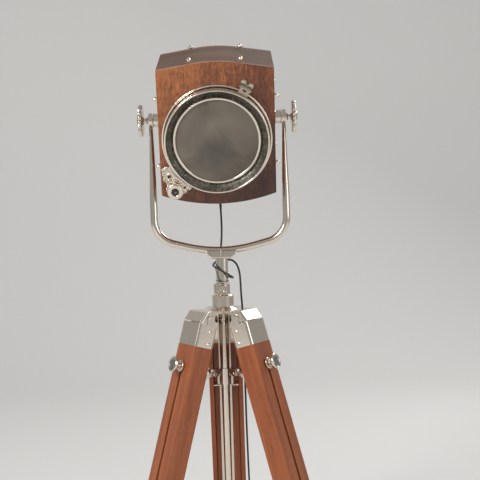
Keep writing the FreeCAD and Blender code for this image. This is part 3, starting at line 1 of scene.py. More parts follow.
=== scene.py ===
"""Tabletop searchlight lamp on a folding wooden tripod, dressed and lit for its
portrait. Metres, +Z up, the lens faces -Y."""
import bmesh
import bpy
import json
import math
from mathutils import Matrix, Vector
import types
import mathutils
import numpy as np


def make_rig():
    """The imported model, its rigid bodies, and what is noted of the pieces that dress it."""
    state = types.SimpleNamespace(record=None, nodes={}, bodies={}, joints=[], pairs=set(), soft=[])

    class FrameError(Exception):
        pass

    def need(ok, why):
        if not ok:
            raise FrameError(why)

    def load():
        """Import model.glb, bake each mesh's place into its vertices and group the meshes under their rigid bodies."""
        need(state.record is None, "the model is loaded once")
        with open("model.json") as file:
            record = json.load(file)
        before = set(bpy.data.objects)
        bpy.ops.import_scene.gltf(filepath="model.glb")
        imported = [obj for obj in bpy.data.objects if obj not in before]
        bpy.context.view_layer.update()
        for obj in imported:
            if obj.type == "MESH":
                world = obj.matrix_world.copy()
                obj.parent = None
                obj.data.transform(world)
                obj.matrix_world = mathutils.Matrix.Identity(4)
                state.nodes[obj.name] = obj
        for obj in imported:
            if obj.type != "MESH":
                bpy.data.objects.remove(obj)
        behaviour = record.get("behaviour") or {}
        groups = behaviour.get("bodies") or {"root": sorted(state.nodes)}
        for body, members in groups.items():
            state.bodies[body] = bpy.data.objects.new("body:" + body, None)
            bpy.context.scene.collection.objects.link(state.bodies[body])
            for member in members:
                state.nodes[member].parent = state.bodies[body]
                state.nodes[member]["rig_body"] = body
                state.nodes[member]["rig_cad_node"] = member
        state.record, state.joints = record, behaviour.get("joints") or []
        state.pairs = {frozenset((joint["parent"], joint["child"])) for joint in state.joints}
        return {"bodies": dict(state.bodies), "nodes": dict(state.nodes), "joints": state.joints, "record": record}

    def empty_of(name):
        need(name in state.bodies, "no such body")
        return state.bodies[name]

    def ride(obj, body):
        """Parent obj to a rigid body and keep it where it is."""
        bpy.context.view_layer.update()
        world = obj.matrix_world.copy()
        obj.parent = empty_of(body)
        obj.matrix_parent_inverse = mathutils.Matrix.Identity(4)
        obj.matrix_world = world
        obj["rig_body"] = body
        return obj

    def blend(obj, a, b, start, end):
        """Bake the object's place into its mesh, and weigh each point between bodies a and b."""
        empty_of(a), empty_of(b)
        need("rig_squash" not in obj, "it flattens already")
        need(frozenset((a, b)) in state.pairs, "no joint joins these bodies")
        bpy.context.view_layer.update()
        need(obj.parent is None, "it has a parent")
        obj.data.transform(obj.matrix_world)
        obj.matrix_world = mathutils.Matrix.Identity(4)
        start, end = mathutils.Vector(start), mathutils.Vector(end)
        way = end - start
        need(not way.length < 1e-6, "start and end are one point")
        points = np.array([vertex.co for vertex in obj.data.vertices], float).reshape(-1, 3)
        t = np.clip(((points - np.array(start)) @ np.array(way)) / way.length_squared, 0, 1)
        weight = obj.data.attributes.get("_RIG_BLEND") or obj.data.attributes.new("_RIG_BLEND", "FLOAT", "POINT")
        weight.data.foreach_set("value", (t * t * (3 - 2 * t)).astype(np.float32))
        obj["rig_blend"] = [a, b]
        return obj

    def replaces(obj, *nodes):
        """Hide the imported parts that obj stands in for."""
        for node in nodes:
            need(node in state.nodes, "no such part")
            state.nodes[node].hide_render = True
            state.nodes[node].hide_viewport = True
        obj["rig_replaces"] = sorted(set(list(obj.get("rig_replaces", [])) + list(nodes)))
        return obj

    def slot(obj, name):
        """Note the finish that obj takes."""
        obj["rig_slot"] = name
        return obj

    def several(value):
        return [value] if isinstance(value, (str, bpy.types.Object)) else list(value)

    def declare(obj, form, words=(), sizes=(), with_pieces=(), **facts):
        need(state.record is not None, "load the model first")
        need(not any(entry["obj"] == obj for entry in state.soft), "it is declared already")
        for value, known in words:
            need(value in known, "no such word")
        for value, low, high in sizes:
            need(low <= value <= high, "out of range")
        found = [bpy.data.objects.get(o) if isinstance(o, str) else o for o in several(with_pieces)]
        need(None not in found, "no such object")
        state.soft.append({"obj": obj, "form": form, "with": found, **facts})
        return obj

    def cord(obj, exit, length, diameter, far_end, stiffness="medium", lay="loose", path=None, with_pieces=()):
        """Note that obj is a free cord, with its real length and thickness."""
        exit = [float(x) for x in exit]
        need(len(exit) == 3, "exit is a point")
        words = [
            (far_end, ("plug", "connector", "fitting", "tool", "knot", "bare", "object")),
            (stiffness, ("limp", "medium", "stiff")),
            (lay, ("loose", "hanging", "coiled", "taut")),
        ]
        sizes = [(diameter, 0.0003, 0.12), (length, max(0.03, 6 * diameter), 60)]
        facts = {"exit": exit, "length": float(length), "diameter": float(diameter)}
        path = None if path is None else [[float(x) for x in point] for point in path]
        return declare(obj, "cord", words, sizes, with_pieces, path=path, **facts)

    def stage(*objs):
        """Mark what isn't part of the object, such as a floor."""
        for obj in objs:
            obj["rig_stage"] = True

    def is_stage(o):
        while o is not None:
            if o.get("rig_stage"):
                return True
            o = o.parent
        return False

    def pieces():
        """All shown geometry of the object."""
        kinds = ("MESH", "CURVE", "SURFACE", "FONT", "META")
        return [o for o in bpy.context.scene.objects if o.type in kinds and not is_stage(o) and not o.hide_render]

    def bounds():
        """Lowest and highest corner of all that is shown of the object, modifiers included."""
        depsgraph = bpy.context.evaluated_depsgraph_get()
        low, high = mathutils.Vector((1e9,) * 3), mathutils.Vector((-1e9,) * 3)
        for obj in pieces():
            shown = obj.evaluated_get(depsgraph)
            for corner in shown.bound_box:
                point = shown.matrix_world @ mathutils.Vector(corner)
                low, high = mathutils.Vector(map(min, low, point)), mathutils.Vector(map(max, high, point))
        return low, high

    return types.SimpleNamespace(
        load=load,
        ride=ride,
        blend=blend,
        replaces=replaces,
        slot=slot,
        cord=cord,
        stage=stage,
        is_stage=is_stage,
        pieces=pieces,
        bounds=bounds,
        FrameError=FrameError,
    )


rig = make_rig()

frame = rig.load()
NODES = frame["nodes"]
CAD_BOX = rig.bounds()


def turn(degrees, axis):
    """A rotation about one of the axes."""
    return Matrix.Rotation(math.radians(degrees), 4, axis)


# The lamp's own measures: angles in degrees, lengths in metres.
MM = 0.001
SPLAY = 16.25
LEG_ANGLES = {"left": 210.0, "right": -30.0, "rear": 90.0}
LEG_PIVOT = (0.032, 0, 0.3525)
CLAMP_KNOB_DOWN = 0.068
TILT = 17.0
TUBE_Y = -0.0259
TILT_Z = 0.610
HEAD_FRONT = -0.063
LENS_Z = -0.0115
HEAD = Matrix.Translation((0, TUBE_Y, TILT_Z)) @ turn(TILT, "X")
FRONT = HEAD @ Matrix.Translation((0, HEAD_FRONT, LENS_Z)) @ turn(90, "X")
CATCH_ANGLE = 229
CATCH_AT = 84.3


# The camera stands a little right of the lamp and looks slightly down.

def add_camera():
    data = bpy.data.cameras.new("camera")
    data.lens = 83.89
    data.sensor_width = 36.0
    data.clip_start, data.clip_end = 0.05, 30.0
    camera = bpy.data.objects.new("camera", data)
    place = Matrix.Translation((0.0249, -1.4964, 0.5144))
    camera.matrix_world = place @ turn(90 - 2.50, "X") @ turn(-1.78, "Z")
    bpy.context.scene.collection.objects.link(camera)
    bpy.context.scene.camera = camera


add_camera()


# The cord: out of the head, once round the centre tube, over the crown beside
# the rear leg, down to the switch, and on through a coil to the plug.

CORD_D = 0.0026
CORD_ROUTE = [
    (0.0, 29.2, 514.4), (0.0, 32.6, 503.5), (0.5, 32.5, 485.0), (1.0, 28.0, 465.0), (0.0, 21.5, 446.5),
    (-2.5, 15.5, 432.0), (-7.0, 12.0, 422.5), (-12.5, 4.0, 418.0), (-9.5, -8.5, 416.5), (1.0, -13.0, 410.5),
    (11.5, -9.5, 404.0), (15.0, 1.5, 400.5), (10.5, 13.0, 401.0), (0.0, 17.5, 404.0), (-5.5, 17.8, 413.5),
    (1.0, 17.6, 422.5), (11.5, 15.5, 424.5), (19.0, 12.0, 419.5), (22.8, 10.5, 409.0), (23.8, 10.5, 397.0),
    (24.0, 12.0, 380.0), (25.5, 15.6, 358.0), (26.0, 20.5, 325.0), (26.0, 28.0, 285.0), (26.0, 38.0, 245.0),
    (26.0, 50.0, 205.0), (26.5, 64.0, 165.0), (27.0, 80.0, 125.0), (28.0, 98.0, 85.0), (30.0, 117.0, 48.0),
    (34.0, 134.0, 18.0), (44.0, 146.0, 3.5), (60.0, 150.0, 2.0), (76.0, 143.0, 4.0), (83.0, 130.0, 7.0),
    (84.0, 117.0, 8.0)]

COIL_CENTRE = (63.95, 44.0)
COIL_TURNS = 3
COIL_LAYERS = 4
COIL_IN = 10.6
COIL_PITCH = 3.15
COIL_STEPS = 12


def coil_point(turns):
    """A point of the coil, counted in turns from its start at the top."""
    layer = min(int(turns / COIL_TURNS), COIL_LAYERS - 1)
    along = turns - layer * COIL_TURNS
    wide = COIL_IN + COIL_PITCH * COIL_TURNS
    r = wide - COIL_PITCH * along if layer % 2 == 0 else COIL_IN + COIL_PITCH * along
    r /= math.cos(math.pi / COIL_STEPS)
    level = COIL_LAYERS - 1.0
    for k in range(1, COIL_LAYERS):
        level -= min(max((turns - k * COIL_TURNS) * 2 + 0.5, 0.0), 1.0)
    a = -math.tau * turns
    x, y = COIL_CENTRE
    return (x + r * math.cos(a), y + r * math.sin(a), 1.5 + COIL_PITCH * level)


def place_of(point):
    """A route's point, drawn in millimetres about the centre tube, in the frame."""
    return Vector(point) * MM + Vector((0, TUBE_Y, 0))


def smooth_line(points, resolution=10):
    """Points along the smooth curve that the route's points pull on."""
    curve = bpy.data.curves.new("route", "CURVE")
    curve.dimensions = "3D"
    curve.resolution_u = resolution
    spline = curve.splines.new("NURBS")
    spline.points.add(len(points) - 1)
    for point, p in zip(spline.points, points):
        point.co = (*place_of(p), 1)
    spline.order_u = 3
    spline.use_endpoint_u = True
    holder = bpy.data.objects.new("route", curve)
    bpy.context.scene.collection.objects.link(holder)
    bpy.context.view_layer.update()
    mesh = bpy.data.meshes.new_from_object(holder)
    line = [v.co.copy() for v in mesh.vertices]
    bpy.data.objects.remove(holder)
    bpy.data.meshes.remove(mesh)
    return line


def line_length(line):
    return sum((b - a).length for a, b in zip(line, line[1:]))


def sweep(name, line, radii, sides=16):
    """A tube along a line, with a UV map that runs along and round it."""
    bm = bmesh.new()
    uv = bm.loops.layers.uv.new("UVMap")
    end = len(line) - 1
    heads = [(line[min(i + 1, end)] - line[max(i - 1, 0)]).normalized() for i in range(len(line))]
    across = heads[0].orthogonal().normalized()
    rings, run = [], 0.0
    for i, (p, ahead) in enumerate(zip(line, heads)):
        across = (across - ahead * across.dot(ahead)).normalized()
        up = ahead.cross(across)
        ring = bmesh.ops.create_circle(bm, segments=sides, radius=radii[i])["verts"]
        place = Matrix((across, up, ahead)).transposed().to_4x4()
        place.translation = p
        bmesh.ops.transform(bm, matrix=place, verts=ring)
        run += (p - line[i - 1]).length if i else 0.0
        rings.append((ring, run))
    for (a, u), (b, v) in zip(rings, rings[1:]):
        for k in range(sides):
            n = (k + 1) % sides
            face = bm.faces.new((a[k], a[n], b[n], b[k]))
            for loop, at in zip(face.loops, ((k, u), (k + 1, u), (k + 1, v), (k, v))):
                loop[uv].uv = (at[0] / sides, at[1])
    bm.faces.new(list(reversed(rings[0][0])))
    bm.faces.new(rings[-1][0])
    return finish_mesh(name, bm)


def finish_mesh(name, bm, angle=32.0):
    """Turn a bmesh into an object at the origin, smooth but for its creases."""
    bmesh.ops.recalc_face_normals(bm, faces=bm.faces)
    mesh = bpy.data.meshes.new(name)
    bm.to_mesh(mesh)
    bm.free()
    mesh.shade_smooth()
    mesh.set_sharp_from_angle(angle=math.radians(angle))
    piece = bpy.data.objects.new(name, mesh)
    bpy.context.scene.collection.objects.link(piece)
    return piece


def nearest(line, point):
    """Which of a line's points lies nearest to a point of the route."""
    return min(range(len(line)), key=lambda i: (line[i] - place_of(point)).length)


def sleeve(name, line, length):
    """A tapered strain relief round the first stretch of a cord's line."""
    run, count = 0.0, 1
    while run < length * MM:
        run += (line[count] - line[count - 1]).length
        count += 1
    thick, taper = 0.0011, 0.0010
    radii = [CORD_D / 2 + thick - taper * i / (count - 1) for i in range(count)]
    piece = sweep(name, line[:count], radii, 20)
    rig.slot(piece, "rubber")
    return piece


def add_lead():
    """The cord from the head to the switch, cut where it passes from one
    moving body to the next."""
    lead = smooth_line(CORD_ROUTE)
    cuts = [0, nearest(lead, (1.0, 28.0, 466.0)), nearest(lead, (24.0, 11.5, 390.0)), len(lead) - 1]
    stretches = {
        "cord_drop": ("head", "mast", (0, 30, 512), (1, 28, 469)),
        "cord_wrap": ("mast", "pan_collar", (22.5, 11, 410), (24, 11, 392)),
        "cord_lead": ("pan_collar", "crown", (24, 12, 388), (24.5, 14, 364)),
    }
    pieces = []
    for (name, bend), a, b in zip(stretches.items(), cuts, cuts[1:]):
        line = lead[a:b + 1]
        piece = sweep(name, line, [CORD_D / 2] * len(line))
        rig.blend(piece, bend[0], bend[1], start=place_of(bend[2]), end=place_of(bend[3]))
        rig.slot(piece, "cord")
        last = name == "cord_lead"
        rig.cord(piece, exit=line[0], length=line_length(line), diameter=CORD_D,
                far_end="fitting" if last else "object", stiffness="limp", lay="hanging", path=line,
                with_pieces=[NODES["cord_switch"], NODES["switch_rocker"]] if last else [])
        pieces.append(piece)
    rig.replaces(pieces[0], "power_cord")
    return pieces, lead


def add_tail():
    """The cord from the switch through the coil to the plug."""
    count = round((COIL_TURNS * COIL_LAYERS - 0.5) * COIL_STEPS)
    tail = [(84.0, 73.6, 8.0), (84.0, 66.0, 8.2), (84.0, 56.0, 9.6)]
    tail += [coil_point(i / COIL_STEPS) for i in range(count + 1)]
    tail += [(45.4, 54.0, 2.2), (45.4, 64.0, 5.4), (45.4, 71.0, 7.2), (45.4, 77.0, 7.2)]
    line = smooth_line(tail, 6)
    coil = sweep("cord_tail", line, [CORD_D / 2] * len(line), 12)
    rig.ride(coil, "crown")
    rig.slot(coil, "cord")
    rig.cord(coil, exit=line[0], length=line_length(line), diameter=CORD_D, far_end="plug", stiffness="limp",
            lay="coiled", path=line, with_pieces=[NODES["plug"]])
    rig.replaces(coil, "cord_coil")
    return coil, line


def add_sleeves(lead, tail):
    """Strain reliefs at the gland, both ends of the switch and the plug."""
    sleeves = [sleeve("gland_sleeve", lead, 22.0)]
    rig.blend(sleeves[0], "head", "mast", start=place_of((0, 30, 512)), end=place_of((1, 28, 469)))
    for name, path in (("switch_sleeve_in", lead[::-1]), ("switch_sleeve_out", tail),
                       ("plug_sleeve", tail[::-1])):
        sleeves.append(sleeve(name, path, 24.0))
        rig.ride(sleeves[-1], "crown")
    return sleeves


def add_tie():
    """The thin thread that holds the cord to the centre tube."""
    strand = [(-10.9, 0.5, 419.3), (-11.2, -3.5, 419.2), (-9.6, -5.2, 417.0), (-7.6, -5.6, 410.0),
              (-5.0, -7.4, 401.5)]
    reach, steps = 8.45, 24
    for i in range(steps + 1):
        a = math.tau * i / steps - 1.9
        strand.append((reach * math.cos(a), reach * math.sin(a), 397.0 + 0.9 * i / steps))
    line = smooth_line(strand, 5)
    piece = sweep("cord_tie", line, [0.00042] * len(line), 8)
    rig.ride(piece, "mast")
    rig.slot(piece, "cord")
    knot, steps = [], 18
    for i in range(steps + 1):
        a = math.tau * i / steps
        knot.append((-2.8 + 1.5 * math.sin(a), -9.2 - 0.9 * math.cos(2 * a), 397.6 + 1.2 * math.sin(3 * a)))
    line = smooth_line(knot, 4)
    bow = sweep("cord_tie_knot", line, [0.0005] * len(line), 8)
    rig.ride(bow, "mast")
    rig.slot(bow, "cord")
    return [piece, bow]


LEAD, LEAD_LINE = add_lead()
TAIL, TAIL_LINE = add_tail()
SLEEVES = add_sleeves(LEAD_LINE, TAIL_LINE)
TIES = add_tie()


# Finishes. Each one is a small graph of nodes on Object coordinates.

class Finish:
    """A material and the node moves that all the finishes share."""

    def __init__(self, name, colour, roughness, metallic=0.0, **sockets):
        self.material = bpy.data.materials.new(name)
        self.material.use_nodes = True
        self.tree = self.material.node_tree
        self.shader = self.tree.nodes["Principled BSDF"]
        self.place = self.node("ShaderNodeTexCoord").outputs["Object"]
        self.set("Base Color", colour)
        self.set("Roughness", roughness)
        self.set("Metallic", metallic)
        for socket, value in sockets.items():
            self.set(socket.replace("_", " "), value)

    def node(self, kind, **settings):
        made = self.tree.nodes.new(kind)
        for key, value in settings.items():
            setattr(made, key, value)
        return made

    def join(self, source, socket):
        if hasattr(source, "links"):
            self.tree.links.new(source, socket)
        elif hasattr(source, "__len__") and len(source) == 3 and socket.type == "RGBA":
            socket.default_value = (*source, 1)
        else:
            socket.default_value = source

    def set(self, socket, source):
        self.join(source, self.shader.inputs[socket])

    def fill(self, made, **values):
        for key, value in values.items():
            made.inputs[key.replace("_", " ")].default_value = value

    def turned(self, place, rotation=(0, 0, 0), scale=(1, 1, 1), location=(0, 0, 0)):
        made = self.node("ShaderNodeMapping")
        self.fill(made, Rotation=[math.radians(a) for a in rotation], Scale=scale, Location=location)
        self.join(place, made.inputs["Vector"])
        return made.outputs["Vector"]

    def noise(self, place, scale, detail=4.0, roughness=0.5, distortion=0.0):
        made = self.node("ShaderNodeTexNoise")
        self.join(place, made.inputs["Vector"])
        self.fill(made, Scale=scale, Detail=detail, Roughness=roughness, Distortion=distortion)
        return made.outputs["Fac"]

    def bands(self, place, scale, distortion, detail=2.0, axis="X"):
        made = self.node("ShaderNodeTexWave", wave_type="BANDS", bands_direction=axis)
        self.join(place, made.inputs["Vector"])
        self.fill(made, Scale=scale, Distortion=distortion, Detail=detail, Detail_Scale=1.2)
        return made.outputs["Fac"]

    def ramp(self, value, stops):
        made = self.node("ShaderNodeValToRGB")
        self.join(value, made.inputs["Fac"])
        points = made.color_ramp.elements
        while len(points) < len(stops):
            points.new(0.5)
        for point, (at, colour) in zip(points, stops):
            point.position = at
            point.color = (colour, colour, colour, 1) if isinstance(colour, float) else (*colour, 1)
        return made.outputs["Color"]

    def combine(self, operation, a, b):
        made = self.node("ShaderNodeMath", operation=operation)
        self.join(a, made.inputs[0])
        self.join(b, made.inputs[1])
        return made.outputs[0]

    def sum(self, a, b):
        return self.combine("ADD", a, b)

    def times(self, a, b):
        return self.combine("MULTIPLY", a, b)

    def blend(self, a, b, share):
        """Two values, with share of the second."""
        return self.sum(self.times(a, 1.0 - share), self.times(b, share))

    def mix(self, share, a, b):
        made = self.node("ShaderNodeMix", data_type="RGBA")
        self.join(share, made.inputs[0])
        self.join(a, made.inputs[6])
        self.join(b, made.inputs[7])
        return made.outputs[2]

    def spread(self, value, low, high):
        made = self.node("ShaderNodeMapRange")
        self.join(value, made.inputs["Value"])
        self.fill(made, To_Min=low, To_Max=high)
        return made.outputs["Result"]

    def bump(self, height, strength, distance):
        made = self.node("ShaderNodeBump")
        self.fill(made, Strength=strength, Distance=distance)
        self.join(height, made.inputs["Height"])
        self.set("Normal", made.outputs["Normal"])

    def axis(self, place, name):
        made = self.node("ShaderNodeSeparateXYZ")
        self.join(place, made.inputs["Vector"])
        return made.outputs[name]


def metal(name, colour, rough=(0.10, 0.24), stain=(0.62, 0.52, 0.42), stained=0.35):
    """Polished plating with cloudy wear, a few stains and hairline scratches."""
    f = Finish(name, colour, 0.15, 1.0)
    cloud = f.noise(f.place, 60.0, 5.0, 0.6)
    spots = f.ramp(f.noise(f.place, 220.0, 3.0, 0.6), [(0.52, 0.0), (0.75, 1.0)])
    f.set("Base Color", f.mix(f.times(spots, stained), colour, stain))
    f.set("Roughness", f.spread(cloud, *rough))
    scratches = f.noise(f.turned(f.place, rotation=(20, 35, 10), scale=(900, 60, 900)), 1.0, 2.0, 0.6)
    f.bump(scratches, 0.05, 0.0003)
    return f.material


def dish_metal():
    """The dish between the hoop's bright rims, partly tarnish and partly painted reflection: its dark, mottled colour
    stands in for dark surroundings seen in the metal.
    """
    f = Finish("dish_tarnish_and_painted_reflection", (0.12, 0.12, 0.10), 0.30, 0.6)
    cloud = f.noise(f.place, 95.0, 5.0, 0.6, 0.8)
    # painted reflection with tarnish: dark mottling and pale specks
    base = f.ramp(cloud, [(0.30, (0.034, 0.034, 0.027)), (0.50, (0.090, 0.084, 0.066)),
                          (0.72, (0.20, 0.175, 0.135))])
    speck = f.ramp(f.noise(f.place, 620.0, 4.0, 0.7, 0.6), [(0.54, 0.0), (0.66, 1.0)])
    f.set("Base Color", f.mix(f.times(speck, 0.75), base, (0.55, 0.49, 0.40)))
    f.set("Roughness", f.spread(cloud, 0.50, 0.34))
    f.bump(f.noise(f.place, 520.0, 4.0, 0.7), 0.35, 0.0004)
    return f.material


def wood(name, grain, tones, figure=1.0, gloss=0.34, coat=0.30, mottled=0.0, painted_light_drift=0.0, lined=0.0):
    """Lacquered hardwood. grain turns the object's space so that Z runs along
    the fibres; tones go from the dark streaks to the bright ones. Mottled wood
    has a short, curly figure. A drift of painted light and shade darkens it towards
    +X and the floor and lightens it upwards, where the key light falls.
    Lined wood has dark lines along the fibres, which fade out at the middle."""
    f = Finish(name, tones[1], gloss, 0.0, Coat_Weight=coat, Coat_Roughness=0.22, Specular_IOR_Level=0.45)
    along = f.place
    for move in grain:
        along = f.turned(along, **move)
    broad = f.noise(f.turned(along, scale=(22, 22, 2.4)), 1.0, 5.0, 0.62, 1.4 * figure)
    streak = f.noise(f.turned(along, scale=(120, 120, 5)), 1.0, 4.0, 0.65, 0.6 * figure)
    fibre = f.noise(f.turned(along, scale=(900, 900, 22)), 1.0, 3.0, 0.6)
    pores = f.noise(f.turned(along, scale=(1500, 1500, 90)), 1.0, 2.0, 0.5)
    pores = f.ramp(pores, [(0.30, 1.0), (0.40, 0.0)])
    tone = f.blend(broad, streak, 0.38)
    if mottled:
        curl = f.noise(f.turned(along, scale=(150, 150, 62)), 1.0, 6.0, 0.68, 1.8)
        fleck = f.noise(f.turned(along, scale=(420, 420, 170)), 1.0, 4.0, 0.7, 0.8)
        tone = f.blend(tone, f.blend(curl, fleck, 0.4), mottled)
    # painted light and shade: darker towards +X and the floor, lighter towards the top, where the key light falls
    if painted_light_drift:
        across, up = f.times(f.axis(along, "X"), -painted_light_drift), f.times(f.axis(along, "Z"), painted_light_drift * 0.8)
        tone = f.sum(tone, f.sum(across, up))
    if lined:
        rows = f.ramp(f.bands(f.turned(along, scale=(26, 26, 26)), 1.0, 0.9, 3.0, "Y"),
                      [(0.25, 1.0), (0.55, 0.0)])
        from_middle = f.times(f.times(f.axis(along, "Z"), f.axis(along, "Z")), 520.0)
        rows = f.times(rows, f.ramp(from_middle, [(0.15, 0.0), (1.0, 1.0)]))
        tone = f.sum(tone, f.times(rows, -lined))
    colour = f.ramp(tone, [(0.34, tones[0]), (0.50, tones[1]), (0.66, tones[2])])
    colour = f.mix(f.times(f.ramp(fibre, [(0.35, 1.0), (0.65, 0.0)]), 0.22), colour, tones[0])
    f.set("Base Color", f.mix(f.times(pores, 0.6), colour, [c * 0.35 for c in tones[0]]))
    f.set("Roughness", f.spread(streak, gloss - 0.06, gloss + 0.14))
    f.bump(f.sum(f.times(fibre, 0.5), f.times(pores, -0.8)), 0.18, 0.0004)
    return f.material


def plain(name, colour, roughness, grit=0.0):
    """Moulded or fired stuff with a faint uneven skin."""
    f = Finish(name, colour, roughness)
    skin = f.noise(f.place, 180.0, 4.0, 0.6)
    f.set("Base Color", f.mix(f.spread(skin, 0.0, 0.35), colour, [c * 0.6 for c in colour]))
    f.set("Roughness", f.spread(skin, roughness - 0.08, roughness + 0.08))
    if grit:
        f.bump(f.noise(f.place, 1400.0, 3.0, 0.6), grit, 0.0003)
    return f.material


def frosted_glass():
    """Frosted glass with a soft, dark patch of painted shade low in the middle."""
    f = Finish("frosted_glass", (0.24, 0.205, 0.165), 0.34, 0.0, Coat_Weight=0.30, Coat_Roughness=0.20,
               Transmission_Weight=0.15, IOR=1.46)
    own = f.turned(f.turned(f.place, location=(0, -TUBE_Y, -TILT_Z)), rotation=(-TILT, 0, 0))
    cloud = f.noise(own, 14.0, 3.0, 0.55, 0.6)
    across, up = f.axis(own, "X"), f.sum(f.axis(own, "Z"), 0.022)
    away = f.sum(f.times(across, across), f.times(up, up))
    # painted shade: a soft dark patch low in the middle of the glass
    painted_shade_patch = f.ramp(f.sum(f.times(away, 900.0), cloud), [(0.42, 1.0), (1.15, 0.0)])
    skin = f.ramp(cloud, [(0.35, (0.120, 0.098, 0.072)), (0.65, (0.205, 0.172, 0.132))])
    f.set("Base Color", f.mix(f.times(painted_shade_patch, 0.75), skin, (0.046, 0.045, 0.042)))
    f.bump(f.noise(f.place, 1600.0, 3.0, 0.6), 0.25, 0.0002)
    return f.material


def opal_glass():
    """The white glass of the bulb."""
    f = Finish("opal_glass", (0.86, 0.84, 0.80), 0.22, 0.0, Transmission_Weight=0.3, IOR=1.45)
    f.set("Roughness", f.spread(f.noise(f.place, 90.0), 0.16, 0.30))
    return f.material


def cord_sheath():
    """Black fabric-covered cord: a fine braid on the tube's own UV map."""
    f = Finish("cord_braid", (0.012, 0.011, 0.010), 0.62, 0.0, Sheen_Weight=0.25)
    uv = f.node("ShaderNodeTexCoord").outputs["UV"]
    one, two = (f.bands(f.turned(uv, scale=(way, 1400, 1)), 1.0, 0.0, 0.0, "DIAGONAL")
                for way in (8, -8))
    braid = f.combine("MAXIMUM", one, two)
    f.set("Base Color", f.mix(braid, (0.006, 0.006, 0.006), (0.026, 0.023, 0.020)))
    f.bump(braid, 0.4, 0.0003)
    return f.material


def plug_moulding():
    """Black moulding whose two pins are plated."""
    black, face_y = (0.022, 0.021, 0.020), 0.1083 + TUBE_Y
    f = Finish("plug_moulding", black, 0.42)
    pins = f.combine("GREATER_THAN", f.axis(f.place, "Y"), face_y)
    f.set("Metallic", pins)
    f.set("Base Color", f.mix(pins, black, (0.74, 0.70, 0.62)))
    f.set("Roughness", f.spread(f.noise(f.place, 200.0), 0.34, 0.5))
    return f.material


# Wood tones, from dark streak to bright streak.
HEAD_TONES = ((0.040, 0.011, 0.005), (0.170, 0.047, 0.016), (0.480, 0.160, 0.045))
ROOF_TONES = ((0.075, 0.036, 0.019), (0.150, 0.083, 0.049), (0.225, 0.138, 0.086))
LEG_TONES = ((0.165, 0.036, 0.010), (0.320, 0.078, 0.018), (0.440, 0.128, 0.034))
INNER_TONES = ((0.16, 0.085, 0.04), (0.30, 0.18, 0.09), (0.42, 0.27, 0.15))

UPRIGHT = [{"location": (0, -TUBE_Y, -TILT_Z)}, {"rotation": (-TILT, 0, 0)}]
CROSSWISE = UPRIGHT + [{"rotation": (0, 90, 0)}]
BACKWARD = UPRIGHT + [{"rotation": (90, 0, 0)}]

NICKEL = metal("polished_nickel", (0.79, 0.71, 0.61))
STEEL = metal("bright_steel", (0.62, 0.60, 0.57), (0.22, 0.36))
ALUMINIUM = metal("spun_aluminium", (0.80, 0.80, 0.79), (0.18, 0.30), stained=0.1)
DISH = dish_metal()
DARK_FACE = metal("aged_nickel", (0.36, 0.345, 0.325), (0.22, 0.40), stained=0.6)
# a darker, browner nickel with more stains, for the hinge
DARK_STAINED_NICKEL = metal("dark_stained_nickel", (0.50, 0.42, 0.33), (0.20, 0.36), (0.30, 0.22, 0.15), 0.7)
HEAD_WOOD = wood("head_wood", UPRIGHT, HEAD_TONES, figure=1.6, mottled=0.62, painted_light_drift=1.15)
SIDE_WOOD = wood("side_wood", UPRIGHT, HEAD_TONES, figure=1.6)
ROOF_WOOD = wood("roof_wood", CROSSWISE, ROOF_TONES, figure=0.6, gloss=0.55, coat=0.04, lined=0.30)
INNER_WOOD = wood("batten_wood", BACKWARD, INNER_TONES, coat=0.0, gloss=0.6)
FROSTED = frosted_glass()
OPAL = opal_glass()
CERAMIC = plain("glazed_ceramic", (0.78, 0.76, 0.72), 0.18)
RUBBER = plain("black_rubber", (0.018, 0.018, 0.017), 0.72, 0.35)
PLASTIC = plain("black_plastic", (0.022, 0.021, 0.020), 0.42, 0.15)
CORD = cord_sheath()
PLUG = plug_moulding()

for cord in LEAD + [TAIL] + TIES:
    cord.data.materials.append(CORD)
for piece in SLEEVES:
    piece.data.materials.append(RUBBER)

NODE_FINISH = {}
for finish, names in (
        (NICKEL, "crown pivot_bolts spreader_hub centre_tube tube_plug clamp_collar clamp_screw yoke_fork"),
        (NICKEL, "yoke_saddle acorn_nuts cord_gland tilt_bosses tilt_knob_left tilt_knob_right base_ring"),
        (NICKEL, "bezel retaining_ring catch_bracket catch_knob"),
        (DARK_STAINED_NICKEL, "hinge_bracket hinge_leaf hinge_pin"),
        (STEEL, "spreader_pins front_screws socket_bracket"),
        (ALUMINIUM, "reflector"),
        (HEAD_WOOD, "front_board back_board"),
        (SIDE_WOOD, "bottom_panel side_panel_left side_panel_right"),
        (ROOF_WOOD, "roof_panel"),
        (INNER_WOOD, "frame_battens"),
        (FROSTED, "lens"),
        (OPAL, "bulb"),
        (CERAMIC, "lamp_socket"),
        (PLASTIC, "cord_switch switch_rocker"),
        (PLUG, "plug"),
        (CORD, "power_cord cord_coil")):
    for name in names.split():
        NODE_FINISH[name] = finish
for side, angle in LEG_ANGLES.items():
    down = [{"location": (0, -TUBE_Y, 0)}, {"rotation": (0, 0, -angle)}, {"rotation": (0, SPLAY, 0)}]
    leg_wood = wood("leg_wood_" + side, down, LEG_TONES, figure=0.7)
    NODE_FINISH["leg_outer_" + side] = leg_wood
    NODE_FINISH["leg_inner_" + side] = leg_wood
    NODE_FINISH["leg_foot_" + side] = RUBBER
    for part in ("leg_cap_", "leg_knob_", "spreader_link_"):
        NODE_FINISH[part + side] = NICKEL

for name, node in NODES.items():
    node.data.materials.clear()
    node.data.materials.append(NODE_FINISH[name])


# Turned and cast pieces. They stand for their CAD solids with rounder edges, and
# the hoop also with a narrower front rim and a wider dish.

RECORD = frame["record"]
BODY_OF = {node: body for body, nodes in RECORD["behaviour"]["bodies"].items() for node in nodes}
SLOT_OF = {row["node"]: row["material_slot"] for row in RECORD["subparts"]}
ROUNDING_STEPS = 4


